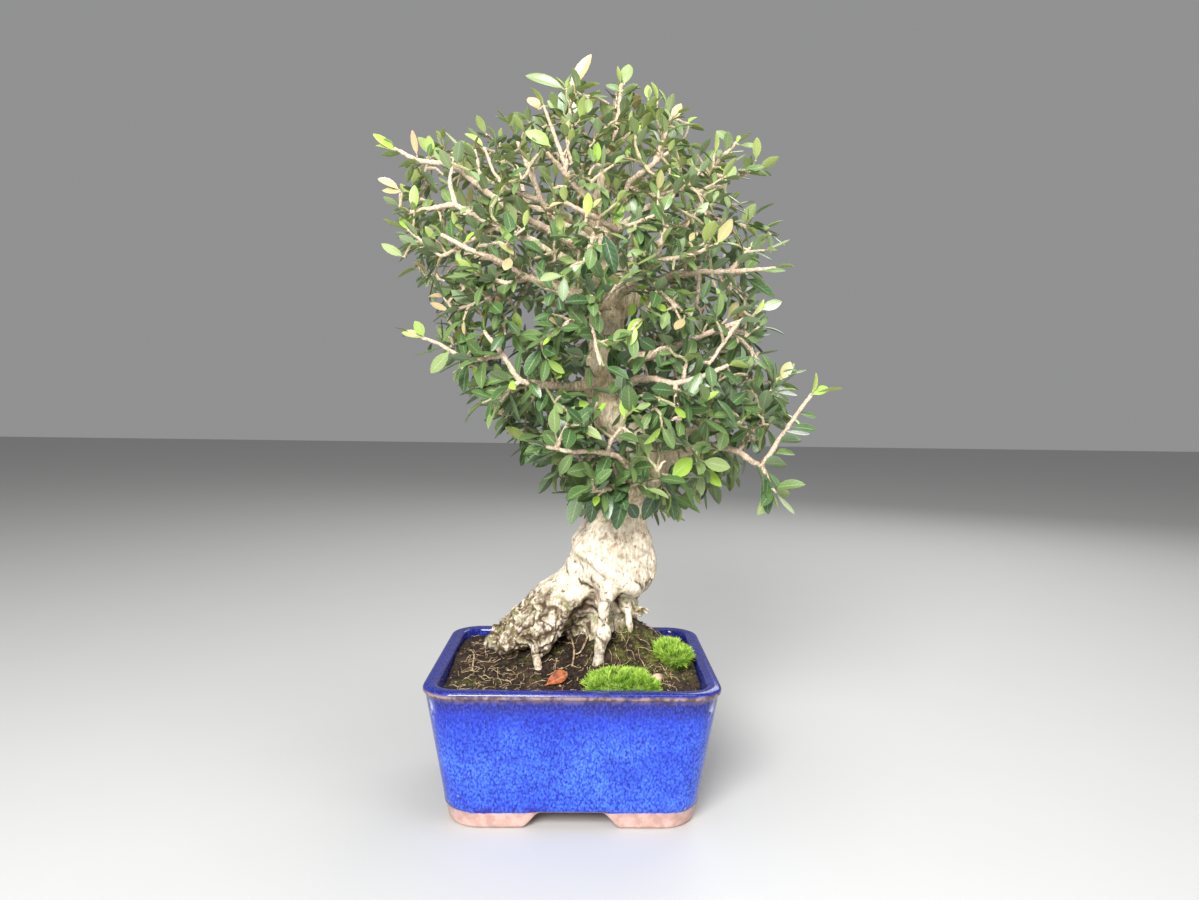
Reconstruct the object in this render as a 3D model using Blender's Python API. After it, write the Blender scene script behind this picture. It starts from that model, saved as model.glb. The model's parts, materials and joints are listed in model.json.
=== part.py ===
# Olive bonsai in a blue glazed pot: pot, drain screens, soil, trunk with its limbs,
# leafy branches, moss, a pebble, a cut root and a fallen leaf.
# Metres, +Z up. The origin is on the table, under the middle of the whole plant's outline.
import math
import random

import bmesh
import bpy
from mathutils import Matrix
from mathutils import Quaternion
from mathutils import Vector
from mathutils.bvhtree import BVHTree

MM = 0.001
GAP = 0.3 * MM
CUTTER_DEPTH = 5 * MM

# Pot: outside size at the rim, and how the body draws in to its foot
POT_LENGTH = 146 * MM
POT_DEPTH = 125 * MM
POT_HEIGHT = 71 * MM
POT_CORNER = 17 * MM
POT_DRAW_X = 10.5 * MM
POT_DRAW_Y = 11 * MM
RIM_WIDTH = 7.5 * MM
RIM_HEIGHT = 4 * MM
RIM_STEP = 0.8 * MM
RIM_ROUNDING = 1.2 * MM
POT_FLOOR = 14 * MM
INSIDE_CORNER = 10 * MM
FLOOR_FILLET = 4 * MM
FOOT_BEVEL = 2.5 * MM
FOOT_HEIGHT = 7.5 * MM
FOOT_BAND = 9 * MM
ARCH_FOOT_HALF = 24.5 * MM
ARCH_TOP_HALF = 15 * MM
ARCH_SHOULDER = 2 * MM
SIDE_ARCH_SHARE = 0.8
UNDERSIDE_INSET = 0.5 * MM
DRAIN_RADIUS = 7 * MM
DRAIN_OFFSET = 25 * MM

# Drain screens on the pot's floor
SCREEN_SIZE = 22 * MM
SCREEN_THICK = 1 * MM
SCREEN_CELLS = 5

# Soil, mounded round the trunk
SOIL_EDGE = 65.2 * MM
MOUND_HEIGHT = 15 * MM
MOUND_CENTER = (6 * MM, 14 * MM)
MOUND_SPREAD_X = 42 * MM
MOUND_SPREAD_FRONT = 24 * MM
MOUND_SPREAD_BACK = 27 * MM
BANK_CENTER = (27 * MM, 9 * MM)
BANK_HEIGHT = 13 * MM
BANK_SPREAD_X = 15 * MM
BANK_SPREAD_Y = 16 * MM
PEG_CENTER = (16 * MM, 9 * MM)
PEG_RADIUS = 13 * MM
PEG_FOOT = 38 * MM
PEG_TOP = 100 * MM
SOIL_RINGS = 6
CLEARANCE_FOOT = 30 * MM

# Leaves and twigs
LEAF_THICK = 0.65 * MM
LEAF_STEP = 9 * MM
LEAF_ROOT = 1.3 * MM
LEAF_COUNT = 315
SEAT_GAP = 0.45 * MM
SEAT_STRAIGHT = 2.5 * MM
LEAF_TURNS = (0, 35, -35, 70, -70, 105)
TWIG_COUNT = 1
TWIG_TRIES = 6
TRUNK_VOXEL = 1.1 * MM
TRUNK_TRIANGLES = 1300
CROWN_CENTER = (12 * MM, 0, 255 * MM)

# Moss as place, half sizes and turn in degrees, and the small things on the soil
MOSS = {
    "moss_front": ((24 * MM, -42 * MM), (21 * MM, 11 * MM, 10 * MM), 0),
    "moss_right": ((52 * MM, -6 * MM), (10.5 * MM, 17 * MM, 7.5 * MM), 22),
}
PEBBLE_PLACE = (43 * MM, -28 * MM)
PEBBLE_SIZE = (3.1 * MM, 2.6 * MM, 2.2 * MM)
STUB_PLACE = (-18 * MM, -19 * MM)
STUB_LENGTH = 11 * MM
FALLEN_PLACE = (-14 * MM, -39 * MM)
FALLEN_LENGTH = 13 * MM
FALLEN_WIDTH = 5.5 * MM

# Centre line of the trunk in millimetres, each point with its radius
TRUNK_LINE = (
    (16, 9, 60, 14), (16, 9, 80, 14), (17, 8, 95, 13), (18, 6, 104, 17),
    (18, 4, 115, 22), (19, 4, 124, 22), (18, 4, 132, 20), (22, 5, 142, 16.5),
    (27, 4, 150, 13), (32, 1, 159, 11), (37, -2, 168, 11), (40, -4, 177, 11),
    (37, -4, 186, 10.5), (30, -3, 194, 10), (21, -1, 201, 9.5), (15, 2, 209, 9),
    (12, 5, 218, 8.5), (12, 6, 229, 8), (14, 4, 240, 8), (17, 1, 250, 8),
    (18, -1, 261, 8), (18, -2, 272, 7.5), (15, 0, 283, 6.5), (11, 2, 296, 5.5),
    (9, 3, 308, 4.5), (8, 3, 318, 3.6),
)

# Roots and lumps of the flared base, as lines with radii
BASE_LINES = {
    "left_root": ((2, 6, 108, 14), (-12, 8, 98, 12), (-25, 9, 90, 9), (-37, 9, 82, 7), (-47, 9, 74, 4.5)),
    "left_front_root": ((6, 0, 107, 12), (-8, -5, 97, 11), (-20, -8, 89, 9), (-31, -8, 82, 6.5),
                        (-39, -8, 76, 4)),
    "front_lobe": ((2, -6, 99, 9), (-6, -10, 90, 8), (-11, -12, 82, 6.5), (-13, -13, 74, 4)),
    "middle_fill": ((4, 8, 98, 11), (2, 9, 88, 10), (0, 10, 80, 8)),
    "left_fill": ((0, 1, 102, 12), (-15, -1, 91, 10.5), (-27, -2, 82, 8), (-37, -2, 73, 5)),
    "middle_root": ((16, -10, 114, 8), (16, -14, 101, 6), (15, -15, 90, 4.8), (14, -16, 80, 3.8),
                    (14, -17, 64, 3)),
    "knob_root": ((25, 2, 101, 3.4), (30, -2, 97, 2.6), (34, -3, 98, 2.4), (36, -3, 96, 3)),
    "right_back_root": ((26, 12, 102, 8), (28, 20, 90, 6.5), (31, 29, 80, 5), (34, 38, 68, 3.5)),
    "left_back_root": ((6, 16, 105, 10), (-4, 26, 92, 7.5), (-14, 34, 80, 5.5), (-24, 40, 67, 3.5)),
    "back_root": ((16, 16, 106, 11), (17, 29, 91, 7.5), (18, 41, 78, 5.5), (19, 49, 67, 3.5)),
    "right_bulge": ((27, 3, 117, 15.5), (28, 3, 126, 14), (28, 4, 136, 12)),
    "left_shoulder": ((6, 3, 113, 13.5), (8, 3, 122, 13)),
    "front_ridge": ((6, -14, 128, 4), (15, -18, 123, 4.5), (25, -15, 116, 5)),
}

# Each branch in millimetres: its limb on the trunk, its leading twig, then its side twigs
BRANCHES = {
    "left_top": (
        ((15, 1, 279), (-2, -10, 289), (-15, -20, 295)),
        ((-31, -30, 301), (-46, -32, 311), (-61, -32, 323), (-79, -28, 326), (-92, -23, 333)),
        ((-45, -32, 310), (-48, -33, 318), (-51, -31, 331)),
    ),
    "left_shoulder": (
        ((17, 0, 267), (-4, -19, 279), (-22, -32, 287)),
        ((-40, -40, 292), (-59, -40, 302), (-72, -36, 301), (-84, -30, 300)),
        ((-59, -40, 302), (-62, -40, 313), (-60, -40, 324)),
        ((-40, -40, 292), (-52, -37, 286), (-67, -33, 279), (-84, -29, 292)),
    ),
    "left_middle": (
        ((18, 0, 256), (-1, -21, 261), (-16, -37, 266)),
        ((-27, -43, 269), (-38, -47, 275), (-52, -48, 280), (-65, -45, 287)),
        ((-23, -40, 268), (-34, -48, 264), (-48, -52, 268)),
        ((-26, -42, 269), (-45, -39, 257), (-63, -34, 252)),
    ),
    "left_front": (
        ((14, 0, 222), (4, -18, 217), (-8, -32, 216)),
        ((-18, -41, 217), (-27, -45, 218), (-35, -48, 230), (-44, -48, 241)),
        ((-27, -45, 218), (-32, -47, 214), (-36, -47, 208)),
        ((-35, -48, 230), (-53, -39, 228), (-68, -33, 236), (-82, -27, 241)),
    ),
    "front_low": (
        ((39, -6, 170), (34, -19, 171), (29, -31, 174)),
        ((21, -41, 182), (8, -50, 185), (-3, -54, 185), (-14, -56, 187)),
        ((15, -45, 183), (17, -48, 190), (23, -49, 198)),
        ((8, -50, 185), (7, -54, 191), (7, -56, 198)),
        ((-9, -55, 186), (-6, -57, 193), (-4, -60, 198)),
    ),
    "front_hanging": (
        ((31, -6, 160), (27, -18, 163), (24, -27, 166)),
        ((19, -38, 167), (14, -46, 166), (8, -52, 166)),
        ((22, -31, 166), (32, -38, 169), (41, -42, 171)),
    ),
    "right_low": (
        ((45, -2, 177), (56, -9, 182), (64, -16, 186)),
        ((71, -22, 187), (83, -22, 184), (95, -22, 177), (107, -21, 195), (121, -18, 214)),
        ((83, -22, 184), (92, -22, 198), (102, -22, 222)),
        ((95, -22, 177), (99, -23, 170), (100, -23, 164)),
    ),
    "right_front": (
        ((14, 0, 211), (23, -16, 216), (30, -29, 220)),
        ((39, -37, 220), (48, -42, 218), (60, -46, 221), (73, -45, 227)),
        ((52, -43, 219), (52, -45, 223), (53, -46, 228)),
        ((48, -42, 218), (48, -47, 210), (50, -50, 200)),
    ),
    "right_middle": (
        ((15, 2, 234), (32, -11, 232), (44, -22, 235)),
        ((57, -27, 240), (69, -31, 245), (87, -30, 252)),
        ((80, -30, 249), (71, -38, 237), (64, -43, 227)),
        ((74, -31, 247), (85, -24, 239), (94, -21, 229)),
    ),
    "right_upper": (
        ((18, 0, 252), (32, -11, 260), (42, -22, 267)),
        ((47, -30, 272), (63, -34, 273), (80, -33, 274), (98, -30, 276)),
        ((60, -33, 273), (60, -31, 265), (59, -30, 257)),
        ((75, -33, 274), (80, -32, 279), (85, -31, 286)),
    ),
    "right_shoulder": (
        ((16, 0, 272), (33, 8, 287), (48, 11, 298)),
        ((63, 12, 311), (69, 10, 324), (72, 6, 336), (83, 3, 347)),
        ((65, 11, 315), (77, 6, 306), (99, 2, 302)),
        ((71, 8, 331), (83, 4, 329), (95, 3, 333)),
    ),
    "right_top": (
        ((12, 2, 295), (18, -6, 302), (23, -14, 309)),
        ((25, -19, 319), (34, -26, 325), (44, -29, 332)),
        ((37, -27, 327), (41, -27, 337), (44, -27, 348)),
        ((25, -18, 317), (38, -24, 312), (55, -24, 317)),
    ),
    "top": (
        ((8, 3, 308), (10, 2, 318), (12, 1, 328)),
        ((14, 0, 338), (18, -4, 344), (20, -6, 359), (21, -6, 373)),
        ((14, 0, 338), (7, 6, 345), (0, 8, 355), (-7, 24, 380)),
        ((18, -4, 344), (29, 2, 355), (37, 4, 362), (59, 20, 362)),
    ),
    "top_left": (
        ((8, 3, 308), (6, -8, 312), (5, -18, 312)),
        ((0, -24, 314), (-7, -29, 321), (-16, -32, 330)),
        ((-5, -27, 319), (-10, -25, 334), (-18, -24, 355)),
        ((-7, -29, 321), (-4, -23, 344), (-7, -19, 365)),
    ),
    "front_top": (
        ((14, 2, 282), (15, -14, 287), (17, -28, 290)),
        ((18, -38, 292), (6, -50, 296), (-6, -58, 300)),
        ((18, -36, 292), (29, -48, 294), (38, -53, 297)),
        ((10, -46, 295), (6, -60, 281), (3, -65, 272)),
    ),
    "left_bare": (
        ((12, 4, 297), (-2, -8, 302), (-11, -18, 304)),
        ((-17, -29, 305), (-21, -35, 313), (-24, -37, 324)),
        ((-18, -31, 307), (-35, -27, 313), (-42, -28, 321), (-47, -28, 333)),
        ((-20, -34, 311), (-29, -30, 332), (-33, -27, 343)),
    ),
    "front_centre": (
        ((19, -4, 246), (15, -18, 247), (11, -32, 248)),
        ((4, -47, 249), (-4, -58, 245), (-11, -64, 239)),
        ((7, -40, 249), (13, -56, 256), (18, -63, 262)),
        ((6, -44, 249), (9, -60, 235), (11, -66, 225)),
    ),
    "front_right": (
        ((18, -4, 260), (22, -18, 264), (27, -31, 267)),
        ((32, -45, 271), (38, -55, 280), (41, -61, 290)),
        ((30, -40, 270), (44, -50, 257), (54, -51, 249)),
        ((35, -50, 275), (53, -52, 278), (66, -48, 284)),
    ),
    "back_low_right": (
        ((42, 2, 180), (55, 16, 188), (64, 29, 193)),
        ((78, 39, 197), (94, 45, 205), (112, 43, 212), (112, 18, 220)),
        ((78, 39, 197), (85, 42, 183), (89, 44, 171)),
        ((71, 34, 195), (67, 51, 208), (64, 62, 223), (78, 57, 249)),
    ),
    "back_low_left": (
        ((22, 2, 198), (11, 18, 196), (-1, 31, 195)),
        ((-14, 41, 194), (-28, 48, 198), (-44, 50, 201), (-51, 52, 230)),
        ((-11, 39, 194), (-10, 51, 180), (-13, 57, 167), (12, 48, 152)),
        ((-14, 41, 194), (-20, 54, 209), (-23, 60, 221), (-16, 39, 241)),
    ),
    "back_low": (
        ((41, 6, 172), (41, 21, 175), (39, 34, 178)),
        ((37, 51, 182), (34, 70, 186), (28, 82, 188), (15, 79, 215)),
        ((38, 46, 181), (50, 57, 173), (60, 61, 163)),
        ((36, 60, 184), (26, 69, 173), (17, 74, 164)),
    ),
    "back_middle": (
        ((15, 4, 230), (16, 20, 236), (15, 36, 242)),
        ((15, 54, 249), (13, 72, 258), (9, 86, 265)),
        ((15, 50, 248), (1, 63, 243), (-14, 68, 239), (-42, 69, 250)),
        ((14, 60, 252), (30, 70, 244), (44, 73, 241), (56, 72, 268)),
    ),
    "back_left": (
        ((17, 2, 260), (0, 20, 269), (-15, 32, 276)),
        ((-34, 40, 283), (-53, 42, 290), (-73, 39, 294), (-90, 16, 302)),
        ((-43, 41, 286), (-53, 47, 273), (-64, 47, 260), (-65, 27, 238)),
        ((-31, 39, 282), (-43, 46, 302), (-52, 49, 317), (-38, 67, 328)),
    ),
    "back_right": (
        ((18, 2, 258), (37, 19, 270), (53, 32, 280)),
        ((70, 39, 287), (86, 41, 293), (101, 37, 298)),
        ((75, 40, 289), (88, 42, 275), (100, 39, 266), (91, 21, 244)),
        ((67, 38, 286), (70, 47, 307), (74, 50, 321)),
    ),
    "back_centre": (
        ((19, 4, 262), (20, 22, 272), (21, 40, 281)),
        ((22, 57, 292), (20, 75, 305), (16, 88, 315)),
        ((22, 53, 290), (6, 70, 294), (-8, 75, 295), (-28, 73, 272)),
        ((21, 65, 298), (34, 73, 308), (45, 74, 317), (44, 63, 335)),
    ),
    "back_top_left": (
        ((12, 4, 292), (-2, 20, 303), (-16, 32, 313)),
        ((-30, 39, 322), (-46, 41, 332), (-63, 36, 338), (-74, 8, 341)),
        ((-31, 39, 322), (-35, 43, 339), (-41, 42, 351), (-51, 14, 352)),
        ((-37, 40, 326), (-52, 46, 322), (-68, 44, 315), (-94, 31, 321)),
    ),
    "back_top": (
        ((10, 6, 305), (12, 22, 317), (15, 36, 328)),
        ((17, 48, 340), (18, 56, 354), (17, 56, 365), (20, 32, 383)),
        ((17, 46, 338), (0, 55, 348), (-15, 55, 352), (-29, 32, 365)),
        ((18, 52, 347), (35, 57, 353), (47, 55, 358)),
    ),
    "back_top_right": (
        ((12, 4, 295), (27, 18, 308), (38, 30, 318)),
        ((52, 37, 328), (67, 39, 337), (81, 36, 347)),
        ((54, 37, 329), (53, 43, 346), (51, 43, 360), (37, 51, 374)),
        ((63, 38, 334), (76, 44, 326), (91, 41, 323)),
    ),
}


# Shared helpers
def clear_scene():
    for item in list(bpy.data.objects):
        bpy.data.objects.remove(item, do_unlink=True)


def material(name, color, roughness, metallic=0.0):
    surface = bpy.data.materials.new(name)
    surface.use_nodes = True
    shader = surface.node_tree.nodes["Principled BSDF"]
    shader.inputs["Base Color"].default_value = (*color, 1.0)
    shader.inputs["Roughness"].default_value = roughness
    shader.inputs["Metallic"].default_value = metallic
    return surface


def add_object(name, mesh, surface=None):
    item = bpy.data.objects.new(name, mesh)
    bpy.context.scene.collection.objects.link(item)
    if surface:
        mesh.materials.clear()
        mesh.materials.append(surface)
    return item


def mesh_from(bm, name):
    bmesh.ops.recalc_face_normals(bm, faces=bm.faces)
    mesh = bpy.data.meshes.new(name)
    bm.to_mesh(mesh)
    bm.free()
    return mesh


def apply_modifiers(item):
    evaluated = item.evaluated_get(bpy.context.evaluated_depsgraph_get())
    mesh = bpy.data.meshes.new_from_object(evaluated)
    item.modifiers.clear()
    item.data = mesh


def cutter(name, mesh):
    item = add_object(name, mesh)
    item.hide_render = True
    item.display_type = "WIRE"
    return item


def boolean(item, operand, operation="DIFFERENCE"):
    change = item.modifiers.new(operation.title(), "BOOLEAN")
    change.operation = operation
    change.object = operand


def cut_and_drop(item, operands):
    for operand in operands:
        boolean(item, operand)
    apply_modifiers(item)
    for operand in operands:
        bpy.data.objects.remove(operand, do_unlink=True)


def smooth(item, angle=50):
    item.data.shade_smooth()
    item.data.set_sharp_from_angle(angle=math.radians(angle))


def keep_largest_body(item):
    bm = bmesh.new()
    bm.from_mesh(item.data)
    bodies = []
    seen = set()
    for start in bm.verts:
        if start in seen:
            continue
        body = [start]
        seen.add(start)
        for vert in body:
            for edge in vert.link_edges:
                other = edge.other_vert(vert)
                if other not in seen:
                    seen.add(other)
                    body.append(other)
        bodies.append(body)
    bodies.sort(key=len)
    scraps = [vert for body in bodies[:-1] for vert in body]
    bmesh.ops.delete(bm, geom=scraps, context="VERTS")
    bm.to_mesh(item.data)
    bm.free()


def join_flat_faces(item):
    """Joins the faces that a union split although they lie in one plane."""
    bm = bmesh.new()
    bm.from_mesh(item.data)
    bmesh.ops.dissolve_limit(bm, angle_limit=math.radians(0.05), verts=bm.verts, edges=bm.edges)
    bm.to_mesh(item.data)
    bm.free()


def tubes(name, lines, resolution):
    """One closed tube along each line of (point, radius) pairs, in one mesh."""
    curve = bpy.data.curves.new(name, "CURVE")
    curve.dimensions = "3D"
    curve.bevel_depth = 1
    curve.bevel_resolution = resolution
    curve.use_fill_caps = True
    for line in lines:
        spline = curve.splines.new("POLY")
        spline.points.add(len(line) - 1)
        for target, (point, radius) in zip(spline.points, line):
            target.co = (*point, 1)
            target.radius = radius
    guide = add_object(name, curve)
    mesh = bpy.data.meshes.new_from_object(guide.evaluated_get(bpy.context.evaluated_depsgraph_get()))
    bpy.data.objects.remove(guide, do_unlink=True)
    bm = bmesh.new()
    bm.from_mesh(mesh)
    bmesh.ops.remove_doubles(bm, verts=bm.verts, dist=0.001 * MM)
    return mesh_from(bm, name)


def in_metres(line):
    return [(Vector(point[:3]) * MM, point[3] * MM) for point in line]


# Pot
def rounded_ring(bm, half_x, half_y, corner, height, corner_steps=4):
    """Edge loop of a rectangle with round corners."""
    ring = []
    for quarter in range(4):
        sign_x = (1, -1, -1, 1)[quarter]
        sign_y = (1, 1, -1, -1)[quarter]
        middle = Vector((sign_x * (half_x - corner), sign_y * (half_y - corner), height))
        for step in range(corner_steps + 1):
            angle = math.radians(90 * (quarter + step / corner_steps))
            offset = Vector((math.cos(angle), math.sin(angle), 0)) * corner
            ring.append(bm.verts.new(middle + offset))
    return ring


def lofted(name, rings):
    """Closed body through rings given as (half_x, half_y, corner, height), capped at both ends."""
    bm = bmesh.new()
    loops = [rounded_ring(bm, *ring) for ring in rings]
    for lower, upper in zip(loops, loops[1:]):
        for index in range(len(lower)):
            after = (index + 1) % len(lower)
            bm.faces.new((lower[index], lower[after], upper[after], upper[index]))
    bm.faces.new(loops[0])
    bm.faces.new(loops[-1])
    return mesh_from(bm, name)


def pot_half(height):
    """Half length and half depth of the body's outside at a height."""
    rise = height / POT_HEIGHT
    half_x = POT_LENGTH / 2 - RIM_STEP - POT_DRAW_X * (1 - rise)
    half_y = POT_DEPTH / 2 - RIM_STEP - POT_DRAW_Y * (1 - rise)
    return half_x, half_y


def inside_half(height):
    """Half length and half depth of the cavity at a height."""
    half_x, half_y = pot_half(height)
    return half_x - RIM_WIDTH + RIM_STEP, half_y - RIM_WIDTH + RIM_STEP


def prism(name, outline, low, high, along):
    """Solid with an (across, height) outline, run from low to high along the X or Y axis."""
    bm = bmesh.new()
    ends = []
    for place in (low, high):
        if along == "Y":
            ends.append([bm.verts.new((across, place, height)) for across, height in outline])
        else:
            ends.append([bm.verts.new((place, across, height)) for across, height in outline])
    bm.faces.new(ends[0])
    bm.faces.new(ends[1])
    bmesh.ops.bridge_loops(bm, edges=[edge for edge in bm.edges])
    return mesh_from(bm, name)


def make_pot():
    low_x, low_y = pot_half(0)
    step_x, step_y = pot_half(POT_HEIGHT - RIM_HEIGHT)
    rim_x = POT_LENGTH / 2
    rim_y = POT_DEPTH / 2
    floor_x, floor_y = inside_half(POT_FLOOR)
    mouth_corner = POT_CORNER - RIM_WIDTH
    rounding = RIM_ROUNDING
    top = POT_HEIGHT
    bevel = FOOT_BEVEL
    rings = (
        (low_x - bevel, low_y - bevel, POT_CORNER - bevel, 0),
        (low_x, low_y, POT_CORNER, bevel),
        (step_x, step_y, POT_CORNER, top - RIM_HEIGHT),
        (rim_x, rim_y, POT_CORNER, top - RIM_HEIGHT + RIM_STEP / 2),
        (rim_x, rim_y, POT_CORNER, top - rounding),
        (rim_x - rounding / 3, rim_y - rounding / 3, POT_CORNER, top - rounding / 3),
        (rim_x - rounding, rim_y - rounding, POT_CORNER - rounding, top),
        (rim_x - RIM_WIDTH + rounding, rim_y - RIM_WIDTH + rounding, mouth_corner + rounding, top),
        (rim_x - RIM_WIDTH, rim_y - RIM_WIDTH, mouth_corner, top - rounding),
        (floor_x, floor_y, INSIDE_CORNER, POT_FLOOR + FLOOR_FILLET),
        (floor_x - FLOOR_FILLET, floor_y - FLOOR_FILLET, INSIDE_CORNER - FLOOR_FILLET, POT_FLOOR),
    )
    pot = add_object("pot", lofted("pot", rings), material("cobalt_glaze", (0.02, 0.06, 0.42), 0.15))
    right_half = (
        (ARCH_TOP_HALF, FOOT_HEIGHT), (ARCH_TOP_HALF + ARCH_SHOULDER, FOOT_HEIGHT * 0.8),
        (ARCH_FOOT_HALF, 0), (ARCH_FOOT_HALF, -CUTTER_DEPTH),
    )
    arch = [(-across, height) for across, height in reversed(right_half)] + list(right_half)
    side_arch = [(across * SIDE_ARCH_SHARE, height) for across, height in arch]
    hollow_x = low_x - FOOT_BAND
    hollow_y = low_y - FOOT_BAND
    hollow = (
        (hollow_x, hollow_y, POT_CORNER / 2, -CUTTER_DEPTH),
        (hollow_x, hollow_y, POT_CORNER / 2, FOOT_HEIGHT - UNDERSIDE_INSET),
    )
    cutters = [
        cutter("front_arch_cutter", prism("front_arch", arch, -POT_DEPTH, POT_DEPTH, "Y")),
        cutter("side_arch_cutter", prism("side_arch", side_arch, -POT_LENGTH, POT_LENGTH, "X")),
        cutter("underside_cutter", lofted("underside", hollow)),
    ]
    for side in (-1, 1):
        bm = bmesh.new()
        place = Matrix.Translation((side * DRAIN_OFFSET, 0, POT_FLOOR / 2))
        bmesh.ops.create_cone(bm, cap_ends=True, segments=16, radius1=DRAIN_RADIUS,
                              radius2=DRAIN_RADIUS, depth=4 * POT_FLOOR, matrix=place)
        cutters.append(cutter("drain_cutter", mesh_from(bm, "drain")))
    cut_and_drop(pot, cutters)
    smooth(pot, 35)
    return pot


# Drain screens
def make_screen(name, side, surface):
    bm = bmesh.new()
    place = Matrix.Translation((side * DRAIN_OFFSET, 0, POT_FLOOR + GAP))
    bmesh.ops.create_grid(bm, x_segments=SCREEN_CELLS, y_segments=SCREEN_CELLS,
                          size=SCREEN_SIZE / 2, matrix=place)
    cell = SCREEN_SIZE / SCREEN_CELLS
    meshes = []
    for face in bm.faces:
        middle = face.calc_center_median() - place.translation
        column = int((middle.x + SCREEN_SIZE / 2) / cell)
        row = int((middle.y + SCREEN_SIZE / 2) / cell)
        if column % 2 and row % 2:
            meshes.append(face)
    bmesh.ops.delete(bm, geom=meshes, context="FACES")
    grown = bmesh.ops.extrude_face_region(bm, geom=list(bm.faces))
    raised = [part for part in grown["geom"] if isinstance(part, bmesh.types.BMVert)]
    bmesh.ops.translate(bm, verts=raised, vec=(0, 0, SCREEN_THICK))
    return add_object(name, mesh_from(bm, name), surface)


def screen_pocket(side):
    """Room for a screen in the underside of the soil."""
    bm = bmesh.new()
    width = SCREEN_SIZE + 2 * GAP
    height = SCREEN_THICK + 2 * GAP
    place = Matrix.Translation((side * DRAIN_OFFSET, 0, POT_FLOOR + height / 2))
    bmesh.ops.create_cube(bm, size=1, matrix=place @ Matrix.Diagonal((width, width, height, 1)))
    return cutter("screen_pocket", mesh_from(bm, "screen_pocket"))


# Soil
def soil_height(x, y):
    across = (x - MOUND_CENTER[0]) / MOUND_SPREAD_X
    spread = MOUND_SPREAD_FRONT if y < MOUND_CENTER[1] else MOUND_SPREAD_BACK
    depth = (y - MOUND_CENTER[1]) / spread
    mound = MOUND_HEIGHT * math.exp(-(across * across + depth * depth) / 2)
    across = (x - BANK_CENTER[0]) / BANK_SPREAD_X
    depth = (y - BANK_CENTER[1]) / BANK_SPREAD_Y
    mound += BANK_HEIGHT * math.exp(-(across * across + depth * depth) / 2)
    relief = math.sin(x * 210 + 1) * math.cos(y * 260) + 0.6 * math.sin(x * 430 - y * 390)
    return SOIL_EDGE + mound + relief * 0.6 * MM


def soil_body(name, raise_by, foot, foot_inset):
    """Block with the soil's own top, raised by a little where it is used as a cutter."""
    wide_x, wide_y = inside_half(SOIL_EDGE)
    wide_x -= GAP
    wide_y -= GAP
    foot_x, foot_y = inside_half(foot)
    bm = bmesh.new()
    corner = INSIDE_CORNER - FLOOR_FILLET
    loops = [rounded_ring(bm, foot_x - foot_inset, foot_y - foot_inset, corner, foot)]
    if foot_inset > GAP:
        loops.append(rounded_ring(bm, foot_x - GAP, foot_y - GAP, INSIDE_CORNER, foot + FLOOR_FILLET))
    for step in range(SOIL_RINGS):
        share = 1 - step / SOIL_RINGS
        ring = rounded_ring(bm, wide_x, wide_y, POT_CORNER - RIM_WIDTH, 0)
        for vert in ring:
            vert.co.x *= share
            vert.co.y *= share
            vert.co.z = soil_height(vert.co.x, vert.co.y) + raise_by
        loops.append(ring)
    for lower, upper in zip(loops, loops[1:]):
        for index in range(len(lower)):
            after = (index + 1) % len(lower)
            bm.faces.new((lower[index], lower[after], upper[after], upper[index]))
    bm.faces.new(loops[0])
    middle = bm.verts.new((0, 0, soil_height(0, 0) + raise_by))
    for index in range(len(loops[-1])):
        after = (index + 1) % len(loops[-1])
        bm.faces.new((loops[-1][index], loops[-1][after], middle))
    bmesh.ops.triangulate(bm, faces=bm.faces)
    return mesh_from(bm, name)


def peg(name, radius, foot):
    """Plain round shape of the buried root ball."""
    bm = bmesh.new()
    place = Matrix.Translation((*PEG_CENTER, (foot + PEG_TOP) / 2))
    bmesh.ops.create_cone(bm, cap_ends=True, segments=16, radius1=radius, radius2=radius,
                          depth=PEG_TOP - foot, matrix=place)
    return cutter(name, mesh_from(bm, name))


def make_soil():
    body = soil_body("soil", 0, POT_FLOOR + GAP, FLOOR_FILLET + GAP)
    soil = add_object("soil", body, material("dark_soil", (0.045, 0.03, 0.02), 0.95))
    cut_and_drop(soil, [peg("peg_hole", PEG_RADIUS + GAP, PEG_FOOT - GAP), screen_pocket(-1),
                        screen_pocket(1)])
    return soil


def soil_clearance():
    """The soil raised by the gap, which shapes the underside of what stands on it."""
    item = cutter("soil_clearance", soil_body("soil_clearance", GAP, CLEARANCE_FOOT, GAP))
    cut_and_drop(item, [peg("peg_way", PEG_RADIUS, PEG_FOOT)])
    return item


# Trunk
def limb_lines():
    """Limb of each branch, as a line of points with radii."""
    lines = []
    for branch in BRANCHES.values():
        limb = branch[0]
        thick = 4.2 if limb[0][2] < 250 else 3.2
        radii = (thick, (thick + 2.1) / 2, 2.1)
        lines.append([(Vector(point) * MM, radius * MM) for point, radius in zip(limb, radii)])
    return lines


def rounded_ends(line):
    """Lump of three close points at an end, so that a fat tube closes like a ball."""
    (first, first_radius) = line[0]
    (last, last_radius) = line[-1]
    back = (first - line[1][0]).normalized() * first_radius * 0.6
    ahead = (last - line[-2][0]).normalized() * last_radius * 0.6
    return [(first + back, first_radius * 0.7)] + line + [(last + ahead, last_radius * 0.7)]


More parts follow.
